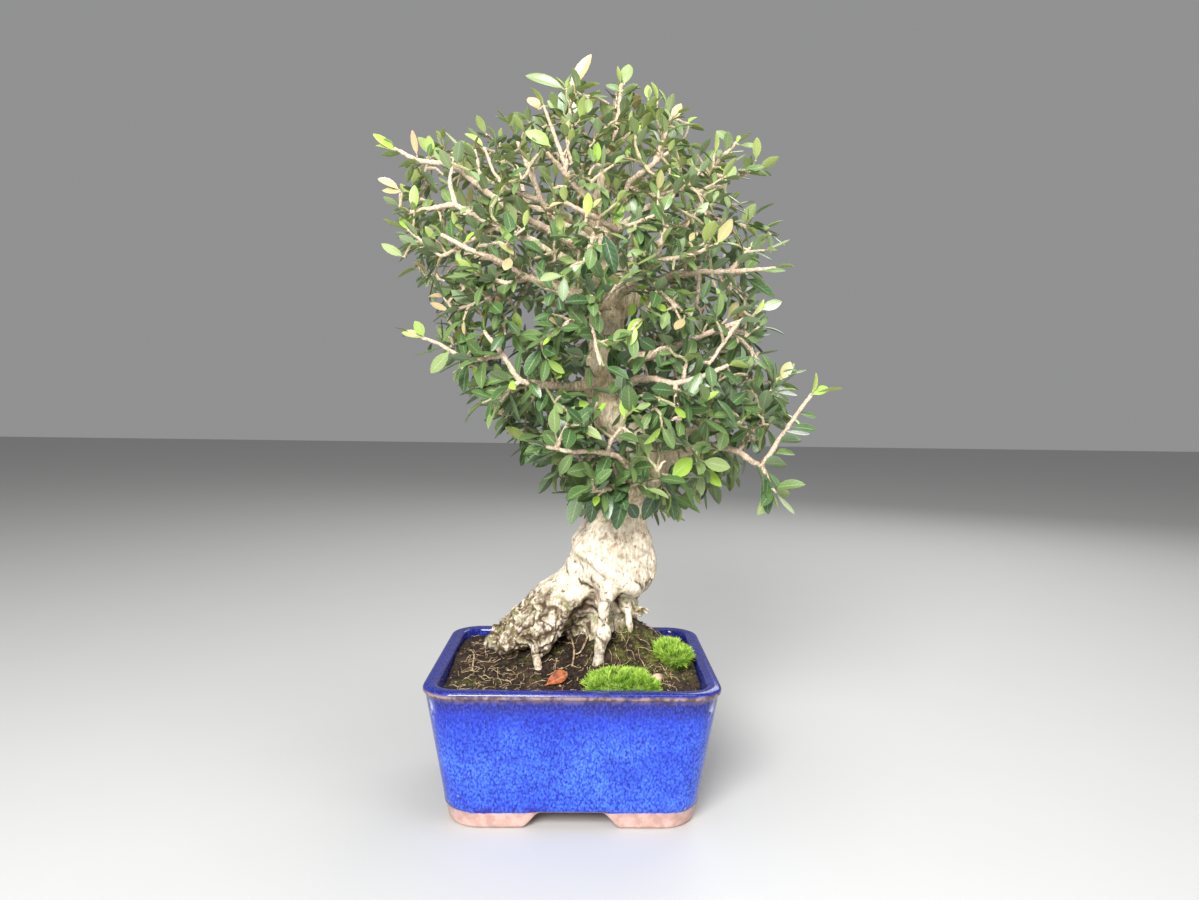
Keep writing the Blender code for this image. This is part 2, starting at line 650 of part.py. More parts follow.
def make_trunk(clearance):
    lines = [in_metres(TRUNK_LINE)]
    for line in BASE_LINES.values():
        lines.append(rounded_ends(in_metres(line)))
    lines.extend(limb_lines())
    surface = material("cream_bark", (0.62, 0.5, 0.36), 0.85)
    trunk = add_object("trunk", tubes("trunk", lines, 3), surface)
    remesh = trunk.modifiers.new("Remesh", "REMESH")
    remesh.mode = "VOXEL"
    remesh.voxel_size = TRUNK_VOXEL
    apply_modifiers(trunk)
    triangles = 2 * len(trunk.data.polygons)
    fewer = trunk.modifiers.new("Decimate", "DECIMATE")
    fewer.ratio = TRUNK_TRIANGLES / triangles
    apply_modifiers(trunk)
    root_ball = peg("root_ball", PEG_RADIUS + MM, PEG_FOOT - 2 * MM)
    boolean(trunk, root_ball, "UNION")
    apply_modifiers(trunk)
    bpy.data.objects.remove(root_ball, do_unlink=True)
    boolean(trunk, clearance)
    apply_modifiers(trunk)
    keep_largest_body(trunk)
    trunk.data.materials.clear()
    trunk.data.materials.append(surface)
    smooth(trunk, 70)
    return trunk


# Branches
def along_line(line, share):
    """Point, direction and radius at a share of a line's length."""
    lengths = [(after[0] - before[0]).length for before, after in zip(line, line[1:])]
    rest = share * sum(lengths)
    for index, length in enumerate(lengths):
        if rest <= length or index == len(lengths) - 1:
            break
        rest -= length
    part = min(1, rest / lengths[index])
    start, start_radius = line[index]
    end, end_radius = line[index + 1]
    direction = (end - start).normalized()
    return start.lerp(end, part), direction, start_radius + (end_radius - start_radius) * part


def line_length(line):
    return sum((after[0] - before[0]).length for before, after in zip(line, line[1:]))


def with_radii(points, thick, thin):
    last = len(points) - 1
    return [(point, (thick + (thin - thick) * index / last) * MM) for index, point in enumerate(points)]


def turned(direction, angle, draw):
    """Direction at an angle from another one, towards a drawn side."""
    side = direction.orthogonal().normalized()
    side.rotate(Quaternion(direction, draw.uniform(0, 2 * math.pi)))
    return (direction * math.cos(angle) + side * math.sin(angle)).normalized()


def branch_lines(branch):
    """Leading twig and its side twigs, as the photo shows them."""
    limb = branch[0]
    seat = Vector(limb[-1]) * MM
    lean = (Vector(limb[-1]) - Vector(limb[-2])).normalized()
    lead = [seat + lean * SEAT_GAP, seat + lean * SEAT_STRAIGHT]
    lead += [Vector(point) * MM for point in branch[1]]
    lines = [with_radii(lead, 1.9, 1.0)]
    for side in branch[2:]:
        lines.append(with_radii([Vector(point) * MM for point in side], 1.3, 0.8))
    return lines


def grown_twig(line, draw):
    """Short straight twig off a line, which leans out of the crown."""
    base, direction, _ = along_line(line, draw.uniform(0.25, 0.9))
    outward = (base - Vector(CROWN_CENTER)).normalized()
    heading = turned(direction, math.radians(draw.uniform(50, 80)), draw) + outward * 0.4
    return with_radii([base, base + heading.normalized() * draw.uniform(14, 21) * MM], 1.0, 0.7)


def line_tree(lines, wider):
    """Search tree of tubes a little thicker than the real ones."""
    thick = [[(point, radius + wider) for point, radius in line] for line in lines]
    mesh = tubes("probe", thick, 0)
    tree = BVHTree.FromPolygons([vert.co for vert in mesh.vertices],
                                [face.vertices for face in mesh.polygons])
    bpy.data.meshes.remove(mesh)
    return tree


def leaf_mesh(spot, grow=0.0, root=0.0):
    """Flat blade with six edge points. A probe is grown a little and has its root cut off."""
    base, direction, face, length, width = spot
    side = face.cross(direction)
    bm = bmesh.new()
    outline = ((root, root * 1.5), (0.3, 0.46), (0.7, 0.4), (1, 0), (0.7, -0.4), (0.3, -0.46))
    if root:
        outline = outline + ((root, -root * 1.5),)
    ring = []
    for along, across in outline:
        place = base + direction * along * (length + grow) + side * across * (width + grow)
        ring.append(bm.verts.new(place - face * (grow + LEAF_THICK / 2)))
    bm.faces.new(ring)
    grown = bmesh.ops.extrude_face_region(bm, geom=list(bm.faces))
    raised = [part for part in grown["geom"] if isinstance(part, bmesh.types.BMVert)]
    bmesh.ops.translate(bm, verts=raised, vec=face * (LEAF_THICK + 2 * grow))
    return bm


def leaf_tree(spot, grow, root):
    bm = leaf_mesh(spot, grow, root)
    tree = BVHTree.FromBMesh(bm)
    bm.free()
    return tree


def leaf_spots(lines, draw):
    """Opposite pairs, each pair turned by a quarter from the last, tips first."""
    spots = []
    for line in lines:
        count = max(1, int(line_length(line) / LEAF_STEP))
        start = draw.uniform(0, math.pi)
        for index in range(count):
            share = 1 - index / count
            point, direction, _ = along_line(line, share)
            base = point - direction * LEAF_ROOT
            across = direction.orthogonal().normalized()
            across.rotate(Quaternion(direction, start + index * math.pi / 2))
            spread = math.radians(38 if index == 0 else 62)
            for sign in (1, -1):
                spots.append((base, direction, across * sign, spread, draw.uniform(11, 16) * MM, index))
    spots.sort(key=lambda spot: spot[5])
    return spots


def posed_leaf(spot, turn):
    """Blade's place for a spot, turned round its twig by an angle."""
    base, direction, across, spread, length, _ = spot
    aside = across.copy()
    aside.rotate(Quaternion(direction, turn))
    heading = (direction * math.cos(spread) + aside * math.sin(spread)).normalized()
    outward = (base - Vector(CROWN_CENTER)).normalized()
    face = direction * 0.6 + Vector((0, 0, 0.8)) + outward * 0.3
    face -= heading * face.dot(heading)
    return base, heading, face.normalized(), length, length * 0.46


def settle_twigs(trunk_tree):
    """Lines of every branch, with short twigs added that run into nothing."""
    lines = {name: branch_lines(branch) for name, branch in BRANCHES.items()}
    placed = {name: [line_tree(drawn, GAP)] for name, drawn in lines.items()}
    for name, drawn in lines.items():
        draw = random.Random(name)
        hosts = list(drawn)
        others = [tree for key, trees in placed.items() if key != name for tree in trees]
        others.append(trunk_tree)
        for index in range(TWIG_COUNT):
            for _ in range(TWIG_TRIES):
                line = grown_twig(hosts[index % len(hosts)], draw)
                tree = line_tree([line], GAP)
                if any(tree.overlap(other) for other in others):
                    continue
                base, tip = line[0][0], line[1][0]
                outer = [(base.lerp(tip, 0.3), line[0][1]), line[1]]
                if any(line_tree([outer], GAP).overlap(other) for other in placed[name]):
                    continue
                drawn.append(line)
                placed[name].append(tree)
                break
    return lines, placed


def settle_leaves(lines, placed, trunk_tree):
    """Blades of every branch, even over all of them, none of them crossing another."""
    spots = {name: leaf_spots(lines[name], random.Random(name)) for name in lines}
    blades = {name: [] for name in lines}
    solid = {name: [] for name in lines}
    total = 0
    while total < LEAF_COUNT and any(spots.values()):
        for name in lines:
            if not spots[name] or total >= LEAF_COUNT:
                continue
            spot = spots[name].pop(0)
            for turn in LEAF_TURNS:
                blade = posed_leaf(spot, math.radians(turn))
                whole = leaf_tree(blade, GAP, 0.0)
                free = leaf_tree(blade, GAP, 0.22)
                own = placed[name] + solid[name]
                others = [tree for key in lines if key != name for tree in placed[key] + solid[key]]
                if whole.overlap(trunk_tree) or any(free.overlap(tree) for tree in own):
                    continue
                if any(whole.overlap(tree) for tree in others):
                    continue
                blades[name].append(blade)
                solid[name].append(leaf_tree(blade, GAP, 0.12))
                total += 1
                break
    return blades


def make_branch(name, lines, blades, surface):
    """Twigs and leaves of one branch, joined into one body."""
    branch = add_object("branch_" + name, tubes(name, lines[:1], 0), surface)
    group = bpy.data.collections.new(name)
    bpy.context.scene.collection.children.link(group)
    for line in lines[1:]:
        group.objects.link(bpy.data.objects.new("twig", tubes("twig", [line], 0)))
    for blade in blades:
        group.objects.link(bpy.data.objects.new("leaf", mesh_from(leaf_mesh(blade), "leaf")))
    union = branch.modifiers.new("Union", "BOOLEAN")
    union.operation = "UNION"
    union.operand_type = "COLLECTION"
    union.collection = group
    apply_modifiers(branch)
    for item in list(group.objects):
        bpy.data.objects.remove(item, do_unlink=True)
    bpy.data.collections.remove(group)
    join_flat_faces(branch)
    keep_largest_body(branch)
    branch.data.materials.clear()
    branch.data.materials.append(surface)
    return branch


def make_branches(trunk):
    bm = bmesh.new()
    bm.from_mesh(trunk.data)
    trunk_tree = BVHTree.FromBMesh(bm)
    bm.free()
    lines, placed = settle_twigs(trunk_tree)
    blades = settle_leaves(lines, placed, trunk_tree)
    surface = material("olive_leaf", (0.07, 0.16, 0.05), 0.4)
    for name in BRANCHES:
        make_branch(name, lines[name], blades[name], surface)


# Moss and what lies on the soil
def make_moss(name, center, size, turn, clearance, surface):
    """Cushion with a knobbly top, which follows the soil."""
    draw = random.Random(name)
    bm = bmesh.new()
    bmesh.ops.create_icosphere(bm, subdivisions=2, radius=1)
    for vert in bm.verts:
        vert.co *= draw.uniform(0.9, 1.1)
    place = Matrix.Translation((*center, soil_height(*center))) @ Matrix.Rotation(math.radians(turn), 4, "Z")
    bmesh.ops.transform(bm, matrix=place @ Matrix.Diagonal((*size, 1)), verts=bm.verts)
    moss = add_object(name, mesh_from(bm, name), surface)
    boolean(moss, clearance)
    apply_modifiers(moss)
    keep_largest_body(moss)
    return moss


def make_pebble(clearance):
    bm = bmesh.new()
    bmesh.ops.create_icosphere(bm, subdivisions=2, radius=1)
    x, y = PEBBLE_PLACE
    place = Matrix.Translation((x, y, soil_height(x, y) + 0.8 * MM))
    size = Matrix.Diagonal((*PEBBLE_SIZE, 1))
    bmesh.ops.transform(bm, matrix=place @ size, verts=bm.verts)
    pebble = add_object("pebble", mesh_from(bm, "pebble"), material("pebble", (0.5, 0.36, 0.3), 0.8))
    boolean(pebble, clearance)
    apply_modifiers(pebble)
    smooth(pebble)
    return pebble


def make_root_stub(clearance):
    x, y = STUB_PLACE
    foot = soil_height(x, y) - 2 * MM
    line = [(Vector((x, y, foot)), 2.4 * MM), (Vector((x - 2 * MM, y, foot + STUB_LENGTH)), 1.9 * MM)]
    stub = add_object("root_stub", tubes("root_stub", [line], 1), material("cut_root", (0.6, 0.5, 0.38), 0.8))
    boolean(stub, clearance)
    apply_modifiers(stub)
    smooth(stub)
    return stub


def make_fallen_leaf(clearance):
    x, y = FALLEN_PLACE
    base = Vector((x, y, soil_height(x, y) - 0.1 * MM))
    heading = Vector((0.85, 0.5, 0.22)).normalized()
    face = Vector((-0.2, -0.35, 1))
    face -= heading * face.dot(heading)
    blade = leaf_mesh((base, heading, face.normalized(), FALLEN_LENGTH, FALLEN_WIDTH))
    leaf = add_object("fallen_leaf", mesh_from(blade, "fallen_leaf"),
                      material("dry_leaf", (0.45, 0.16, 0.05), 0.7))
    boolean(leaf, clearance)
    apply_modifiers(leaf)
    keep_largest_body(leaf)
    return leaf


def centre_on_outline():
    """Moves every mesh so that the origin is under the middle of the whole outline."""
    points = [vert.co for item in bpy.data.objects for vert in item.data.vertices]
    middle_x = (min(point.x for point in points) + max(point.x for point in points)) / 2
    middle_y = (min(point.y for point in points) + max(point.y for point in points)) / 2
    for item in bpy.data.objects:
        item.data.transform(Matrix.Translation((-middle_x, -middle_y, 0)))


def main():
    clear_scene()
    make_pot()
    screen = material("screen_plastic", (0.03, 0.03, 0.03), 0.5)
    make_screen("drain_screen_left", -1, screen)
    make_screen("drain_screen_right", 1, screen)
    make_soil()
    clearance = soil_clearance()
    trunk = make_trunk(clearance)
    make_branches(trunk)
    green = material("moss", (0.25, 0.45, 0.05), 0.95)
    for name, (place, size, turn) in MOSS.items():
        make_moss(name, place, size, turn, clearance, green)
    make_pebble(clearance)
    make_root_stub(clearance)
    make_fallen_leaf(clearance)
    bpy.data.objects.remove(clearance, do_unlink=True)
    centre_on_outline()


main()
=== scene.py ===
# Olive bonsai in a blue glazed pot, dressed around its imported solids.
# Shapes are worked out in millimetres from the middle of the pot's foot, with the table at zero,
# and each finished mesh is then brought to metres and to the pot's place.
import json
import math
import random

import bmesh
import bpy
from mathutils import Matrix
from mathutils import Quaternion
from mathutils import Vector
from mathutils import noise
from mathutils.bvhtree import BVHTree
from mathutils.kdtree import KDTree

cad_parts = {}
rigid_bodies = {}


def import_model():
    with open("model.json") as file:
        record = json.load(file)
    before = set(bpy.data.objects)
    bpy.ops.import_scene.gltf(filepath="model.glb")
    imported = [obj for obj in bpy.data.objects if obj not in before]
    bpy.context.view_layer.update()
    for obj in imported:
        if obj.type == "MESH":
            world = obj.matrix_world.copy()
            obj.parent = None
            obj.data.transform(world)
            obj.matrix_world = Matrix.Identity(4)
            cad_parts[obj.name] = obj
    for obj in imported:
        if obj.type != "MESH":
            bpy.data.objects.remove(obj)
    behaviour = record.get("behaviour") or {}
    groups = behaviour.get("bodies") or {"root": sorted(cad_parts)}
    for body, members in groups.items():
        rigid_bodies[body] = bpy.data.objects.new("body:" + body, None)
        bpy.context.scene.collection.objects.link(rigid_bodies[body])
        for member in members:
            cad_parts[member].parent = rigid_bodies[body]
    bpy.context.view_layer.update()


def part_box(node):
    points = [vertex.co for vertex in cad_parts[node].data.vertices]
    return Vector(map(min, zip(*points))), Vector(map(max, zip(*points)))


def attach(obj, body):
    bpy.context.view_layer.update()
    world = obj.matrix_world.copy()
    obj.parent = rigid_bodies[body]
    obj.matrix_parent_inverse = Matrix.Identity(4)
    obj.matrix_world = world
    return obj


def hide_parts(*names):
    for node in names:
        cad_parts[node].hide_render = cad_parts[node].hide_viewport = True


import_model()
potLow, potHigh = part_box("pot")
potMiddle = Vector(((potLow.x + potHigh.x) / 2, (potLow.y + potHigh.y) / 2, 0))
toFrame = Matrix.Translation(potMiddle) @ Matrix.Scale(0.001, 4)
upward = Vector((0, 0, 1))


# Camera, as the photograph was taken
photo = {
    "width": 1199, "height": 900, "focal": 859.04, "sensor": 36,
    "place": (4.277, -459.84, 207.32), "pitch": 0.0531, "yaw": 0.0177, "roll": 0.0136,
}


def photoAxes():
    pitch, yaw, roll = photo["pitch"], photo["yaw"], photo["roll"]
    forward = Vector((math.sin(yaw) * math.cos(pitch), math.cos(yaw) * math.cos(pitch), -math.sin(pitch)))
    level = Vector((math.cos(yaw), -math.sin(yaw), 0))
    plumb = level.cross(forward)
    right = level * math.cos(roll) + plumb * math.sin(roll)
    up = plumb * math.cos(roll) - level * math.sin(roll)
    return right, up, forward


photoRight, photoUp, photoForward = photoAxes()
photoPlace = Vector(photo["place"])


def toPhoto(point):
    away = point - photoPlace
    depth = away.dot(photoForward)
    across = photo["width"] / 2 + photo["focal"] * away.dot(photoRight) / depth
    down = photo["height"] / 2 - photo["focal"] * away.dot(photoUp) / depth
    return across, down


def fromPhoto(across, down, y):
    ray = photoForward * photo["focal"]
    ray += photoRight * (across - photo["width"] / 2) - photoUp * (down - photo["height"] / 2)
    return photoPlace + ray * ((y - photoPlace.y) / ray.y)


def makeCamera():
    camera = bpy.data.cameras.new("camera")
    camera.sensor_width = photo["sensor"]
    camera.lens = photo["focal"] / photo["width"] * photo["sensor"]
    camera.clip_start = 0.01
    holder = bpy.data.objects.new("camera", camera)
    bpy.context.scene.collection.objects.link(holder)
    turn = Matrix((photoRight, photoUp, -photoForward)).transposed().to_4x4()
    holder.matrix_world = Matrix.Translation(toFrame @ photoPlace) @ turn
    bpy.context.scene.camera = holder


# Shader maths: a socket that takes part in plain sums
class Sum:
    def __init__(self, finish, socket):
        self.finish = finish
        self.socket = socket

    def reckon(self, operation, first, second=None, clamp=False):
        values = {0: first} if second is None else {0: first, 1: second}
        return self.finish.node("Math", {"operation": operation, "use_clamp": clamp}, values)

    def __add__(self, other):
        return self.reckon("ADD", self, other)

    def __radd__(self, other):
        return self.reckon("ADD", other, self)

    def __sub__(self, other):
        return self.reckon("SUBTRACT", self, other)

    def __rsub__(self, other):
        return self.reckon("SUBTRACT", other, self)

    def __mul__(self, other):
        return self.reckon("MULTIPLY", self, other)

    def __rmul__(self, other):
        return self.reckon("MULTIPLY", other, self)

    def __truediv__(self, other):
        return self.reckon("DIVIDE", self, other)

    def __pow__(self, other):
        return self.reckon("POWER", self, other)

    def __abs__(self):
        return self.reckon("ABSOLUTE", self)

    def wave(self):
        return self.reckon("SINE", self)

    def clamped(self):
        return self.reckon("ADD", self, 0.0, clamp=True)

    def rise(self, low, high):
        # 0 below low, 1 above high, eased between them
        return self.finish.node(
            "MapRange", {"interpolation_type": "SMOOTHSTEP"}, {0: self, 1: low, 2: high, 3: 0.0, 4: 1.0})


class Finish:
    def __init__(self, name):
        self.material = bpy.data.materials.new(name)
        self.material.use_nodes = True
        self.nodes = self.material.node_tree.nodes
        self.links = self.material.node_tree.links
        self.shader = self.nodes["Principled BSDF"]

    def node(self, kind, settings=None, inputs=None, output=0):
        made = self.nodes.new("ShaderNode" + kind)
        for key, value in (settings or {}).items():
            if key == "stops":
                ramp = made.color_ramp
                while len(ramp.elements) < len(value):
                    ramp.elements.new(0.5)
                for element, (place, color) in zip(ramp.elements, value):
                    element.position = place
                    element.color = (*color, 1)
            else:
                setattr(made, key, value)
        for key, value in (inputs or {}).items():
            if isinstance(value, Sum):
                self.links.new(value.socket, made.inputs[key])
            else:
                made.inputs[key].default_value = value
        return Sum(self, made.outputs[output])

    def place(self, stretch=(1, 1, 1)):
        # object coordinates in millimetres from the pot's middle
        scale = tuple(1000 * part for part in stretch)
        back = tuple(-part * whole for part, whole in zip(potMiddle, scale))
        spot = self.node("TexCoord", output=3)
        return self.node("Mapping", None, {"Vector": spot, "Location": back, "Scale": scale})

    def axis(self, spot, index):
        return self.node("SeparateXYZ", None, {0: spot}, index)

    def grain(self, spot, size, detail=3.0, roughness=0.55, distortion=0.0):
        settings = {"Vector": spot, "Scale": 1 / size, "Detail": detail, "Roughness": roughness,
                    "Distortion": distortion}
        return self.node("TexNoise", None, settings)

    def cells(self, spot, size, feature="F1", output=0):
        return self.node("TexVoronoi", {"feature": feature}, {"Vector": spot, "Scale": 1 / size}, output)

    def mark(self, name, output=2):
        return self.node("Attribute", {"attribute_name": name}, None, output)

    def mix(self, share, first, second, blend="MIX"):
        colors = [value if isinstance(value, Sum) else (*value, 1) for value in (first, second)]
        return self.node("Mix", {"data_type": "RGBA", "blend_type": blend},
                         {0: share, 6: colors[0], 7: colors[1]}, 2)

    def ramp(self, share, stops):
        return self.node("ValToRGB", {"stops": stops}, {0: share})

    def bump(self, height, distance, strength=1.0):
        return self.node("Bump", None, {"Strength": strength, "Distance": distance * 0.001, "Height": height})

    def dress(self, **sockets):
        names = {"color": "Base Color", "roughness": "Roughness", "normal": "Normal",
                 "coat": "Coat Weight", "coatRoughness": "Coat Roughness", "specular": "Specular IOR Level",
                 "sheen": "Sheen Weight"}
        for key, value in sockets.items():
            target = self.shader.inputs[names[key]]
            if isinstance(value, Sum):
                self.links.new(value.socket, target)
            else:
                target.default_value = value
        return self.material


# Pieces
def bake(guide):
    bpy.context.view_layer.update()
    return bpy.data.meshes.new_from_object(guide.evaluated_get(bpy.context.evaluated_depsgraph_get()))


def holderFor(mesh, name="work"):
    holder = bpy.data.objects.new(name, mesh)
    bpy.context.scene.collection.objects.link(holder)
    return holder


def meshFrom(bm, name="work"):
    mesh = bpy.data.meshes.new(name)
    bm.to_mesh(mesh)
    bm.free()
    return mesh


def finishPiece(name, mesh, finishes, nodes=(), sharp=60):
    mesh.transform(toFrame)
    mesh.name = name
    for finish in finishes:
        mesh.materials.append(finish)
    mesh.shade_smooth()
    mesh.set_sharp_from_angle(angle=math.radians(sharp))
    piece = holderFor(mesh, name)
    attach(piece, "root")
    if nodes:
        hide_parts(*nodes)
    print(name, len(mesh.loop_triangles) or sum(len(face.vertices) - 2 for face in mesh.polygons), "triangles")
    return piece


def tubeMesh(lines, roundness):
    # one closed tube along each line of (point, radius)
    guide = bpy.data.curves.new("guide", "CURVE")
    guide.dimensions = "3D"
    guide.bevel_depth = 1
    guide.bevel_resolution = roundness
    guide.use_fill_caps = True
    for line in lines:
        spline = guide.splines.new("POLY")
        spline.points.add(len(line) - 1)
        for target, (point, radius) in zip(spline.points, line):
            target.co = (*point, 1)
            target.radius = radius
    holder = holderFor(guide)
    mesh = bake(holder)
    bpy.data.objects.remove(holder, do_unlink=True)
    bpy.data.curves.remove(guide)
    bm = bmesh.new()
    bm.from_mesh(mesh)
    bmesh.ops.remove_doubles(bm, verts=bm.verts, dist=0.001)
    bmesh.ops.recalc_face_normals(bm, faces=bm.faces)
    bm.to_mesh(mesh)
    bm.free()
    return mesh


def smoothLine(points, step, stiff=0.0):
    # curve through the points, cut into steps of about the same length and drawn towards straight runs
    ends = [points[0] * 2 - points[1]] + list(points) + [points[-1] * 2 - points[-2]]
    line = []
    for index in range(1, len(ends) - 2):
        before, start, stop, after = ends[index - 1:index + 3]
        count = max(1, round((stop - start).length / step))
        for part in range(count):
            t = part / count
            bend = (before * 2 - start * 5 + stop * 4 - after) * t * t
            curve = (start * 2 + (stop - before) * t + bend + (start * 3 - before - stop * 3 + after) * t ** 3) / 2
            line.append(curve.lerp(start.lerp(stop, t), stiff))
    line.append(points[-1])
    return line


# Ring of places round a rectangle with round corners
def ringPlan(cornerSteps, longSteps, shortSteps):
    plan = []
    for quarter in range(4):
        plan += [(quarter, step / cornerSteps, None) for step in range(cornerSteps + 1)]
        straight = longSteps if quarter % 2 == 0 else shortSteps
        plan += [(quarter, 1, step / straight) for step in range(1, straight)]
    return plan


def ringPoint(spot, halfX, halfY, corner):
    def arcPoint(quarter, turn):
        signX = (1, -1, -1, 1)[quarter % 4]
        signY = (1, 1, -1, -1)[quarter % 4]
        angle = math.radians(90 * (quarter + turn))
        return Vector((signX * (halfX - corner) + math.cos(angle) * corner,
                       signY * (halfY - corner) + math.sin(angle) * corner, 0))
    quarter, turn, along = spot
    if along is None:
        return arcPoint(quarter, turn)
    return arcPoint(quarter, 1).lerp(arcPoint(quarter + 1, 0), along)


def loftRings(plan, stations, marks=None):
    # rings of (half length, half depth, corner, height rule), each drawn out of the last
    bm = bmesh.new()
    layers = [bm.verts.layers.float.new(name) for name in (marks or {})]
    ring = bmesh.ops.create_circle(bm, segments=len(plan), radius=1)["verts"]
    edges = list(bm.edges)
    for index, (halfX, halfY, corner, height) in enumerate(stations):
        if index:
            order = {vert: spot for spot, vert in enumerate(ring)}
            grown = bmesh.ops.extrude_edge_only(bm, edges=edges)["geom"]
            edges = [part for part in grown if isinstance(part, bmesh.types.BMEdge)]
            fresh = [part for part in grown if isinstance(part, bmesh.types.BMVert)]
            edges = [edge for edge in edges if edge.verts[0] in fresh and edge.verts[1] in fresh]
            ring = [None] * len(plan)
            for vert in fresh:
                for edge in vert.link_edges:
                    if edge.other_vert(vert) in order:
                        ring[order[edge.other_vert(vert)]] = vert
        for spot, vert in zip(plan, ring):
            vert.co = ringPoint(spot, halfX, halfY, corner)
            vert.co.z = height(vert.co) if callable(height) else height
            for layer, values in zip(layers, (marks or {}).values()):
                vert[layer] = values[index]
    bmesh.ops.holes_fill(bm, edges=[edge for edge in bm.edges if edge.is_boundary])
    bmesh.ops.recalc_face_normals(bm, faces=bm.faces)
    return bm


# Pot
potShape = {
    "length": 146, "depth": 125, "height": 71, "corner": 17, "drawIn": (10.5, 11),
    "rimWidth": 7.5, "rimStep": 0.8, "rimHeight": 4, "floor": 14, "footHeight": 7.5, "footBand": 9,
    "archFoot": 24.5, "archTop": 15, "sideArch": 0.8, "drainRadius": 7, "drainOffset": 25,
    "glazeEdge": 8.6, "glazeThick": 0.3,
}


def potHalf(height):
    rise = height / potShape["height"]
    halfX = potShape["length"] / 2 - potShape["rimStep"] - potShape["drawIn"][0] * (1 - rise)
    halfY = potShape["depth"] / 2 - potShape["rimStep"] - potShape["drawIn"][1] * (1 - rise)
    return halfX, halfY


def insideHalf(height):
    halfX, halfY = potHalf(height)
    wall = potShape["rimWidth"] - potShape["rimStep"]
    return halfX - wall, halfY - wall


def archLift(point, share=1.0):
    # how far the foot is drawn up at a place round the pot
    foot, top, height = potShape["archFoot"], potShape["archTop"], potShape["footHeight"]
    across = point.x
    if abs(point.x) / potHalf(0)[0] > abs(point.y) / potHalf(0)[1]:
        across = point.y / potShape["sideArch"]
    slope = max(0, min(1, (foot - abs(across)) / (foot - top)))
    return height * slope * slope * (3 - 2 * slope) * share


def glazeFinish():
    finish = Finish("cobaltGlaze")
    spot = finish.place()
    height = finish.axis(spot, 2)
    stretched = finish.place((1, 1, 0.62))
    drift = finish.grain(spot, 24, 2)
    speckle = finish.cells(stretched, 1.0, "SMOOTH_F1")
    fine = finish.grain(stretched, 0.95, 3, 0.6)
    gaps = finish.grain(finish.place((1, 1, 0.4)), 1.15, 2, 0.5)
    lights = fine.rise(0.40, 0.62) * 0.6 + (1 - speckle * 1.7).rise(0.1, 0.62) * 0.6
    lower = (height + drift * 12).rise(68, 46)
    body = finish.mix(drift.rise(0.3, 0.7), (0.008, 0.017, 0.36), (0.013, 0.036, 0.50))
    body = finish.mix(gaps.rise(0.50, 0.40) * 0.62, body, (0.004, 0.008, 0.14))
    bright = finish.mix(drift.rise(0.35, 0.7), (0.036, 0.105, 0.62), (0.075, 0.20, 0.80))
    color = finish.mix((lights * (0.3 + 0.7 * lower)).clamped(), body, bright)
    dusk = finish.mix(fine.rise(0.42, 0.66), (0.009, 0.011, 0.12), (0.030, 0.046, 0.36))
    nearRim = (height + drift * 14 - 7).rise(55, 66)
    color = finish.mix(nearRim, color, dusk)
    # painted shade: the flank that turns away at each rounded corner is darkened to navy
    flank = finish.mark("flank")
    color = finish.mix((flank * 0.85).clamped(), color, (0.008, 0.010, 0.10))
    foot = (1 - (height + drift * 10).rise(13, 19)) * finish.grain(spot, 9, 2).rise(0.5, 0.62)
    color = finish.mix(foot * 0.75, color, (0.016, 0.006, 0.24))
    pools = finish.grain(spot, 4.5, 3).rise(0.6, 0.72) * (1 - height.rise(13, 21)) * finish.mark("cornerPool")
    color = finish.mix((pools * 0.8).clamped(), color, (0.34, 0.42, 0.85))
    breaking = finish.mark("glazeBreak") * (finish.grain(spot, 6, 3, 0.6).rise(0.28, 0.44) * 0.7 + 0.3)
    tan = finish.mix(finish.grain(spot, 4, 3).rise(0.4, 0.6), (0.095, 0.060, 0.055), (0.27, 0.19, 0.165))
    color = finish.mix(breaking.clamped(), color, tan)
    # painted highlight: a whitish streak near the top of each corner, weaker at the back
    paintedCornerHighlight = finish.mark("cornerGleam") * finish.grain(stretched, 3, 3).rise(0.42, 0.6)
    color = finish.mix((paintedCornerHighlight * 0.85).clamped(), color, (0.62, 0.66, 0.85))
    clayTone = finish.mix(finish.grain(spot, 5, 4, 0.6).rise(0.35, 0.65), (0.50, 0.30, 0.25), (0.66, 0.44, 0.38))
    clayTone = finish.mix(finish.grain(spot, 0.7, 2).rise(0.62, 0.7) * 0.5, clayTone, (0.30, 0.16, 0.12))
    edge = potShape["glazeEdge"]
    line = height + (finish.grain(spot, 14, 2) - 0.5) * 2.2 + (finish.grain(spot, 3, 2) - 0.5) * 0.8
    clay = 1 - line.rise(edge - 0.25, edge + 0.15)
    color = finish.mix(clay, color, clayTone)
    rough = 0.09 + 0.06 * fine + clay * 0.62
    relief = fine * (1 - clay) * 0.3 + finish.grain(spot, 0.5, 2) * clay + drift * 0.8
    return finish.dress(color=color, roughness=rough, normal=finish.bump(relief, 0.16, 0.35),
                        specular=0.42)


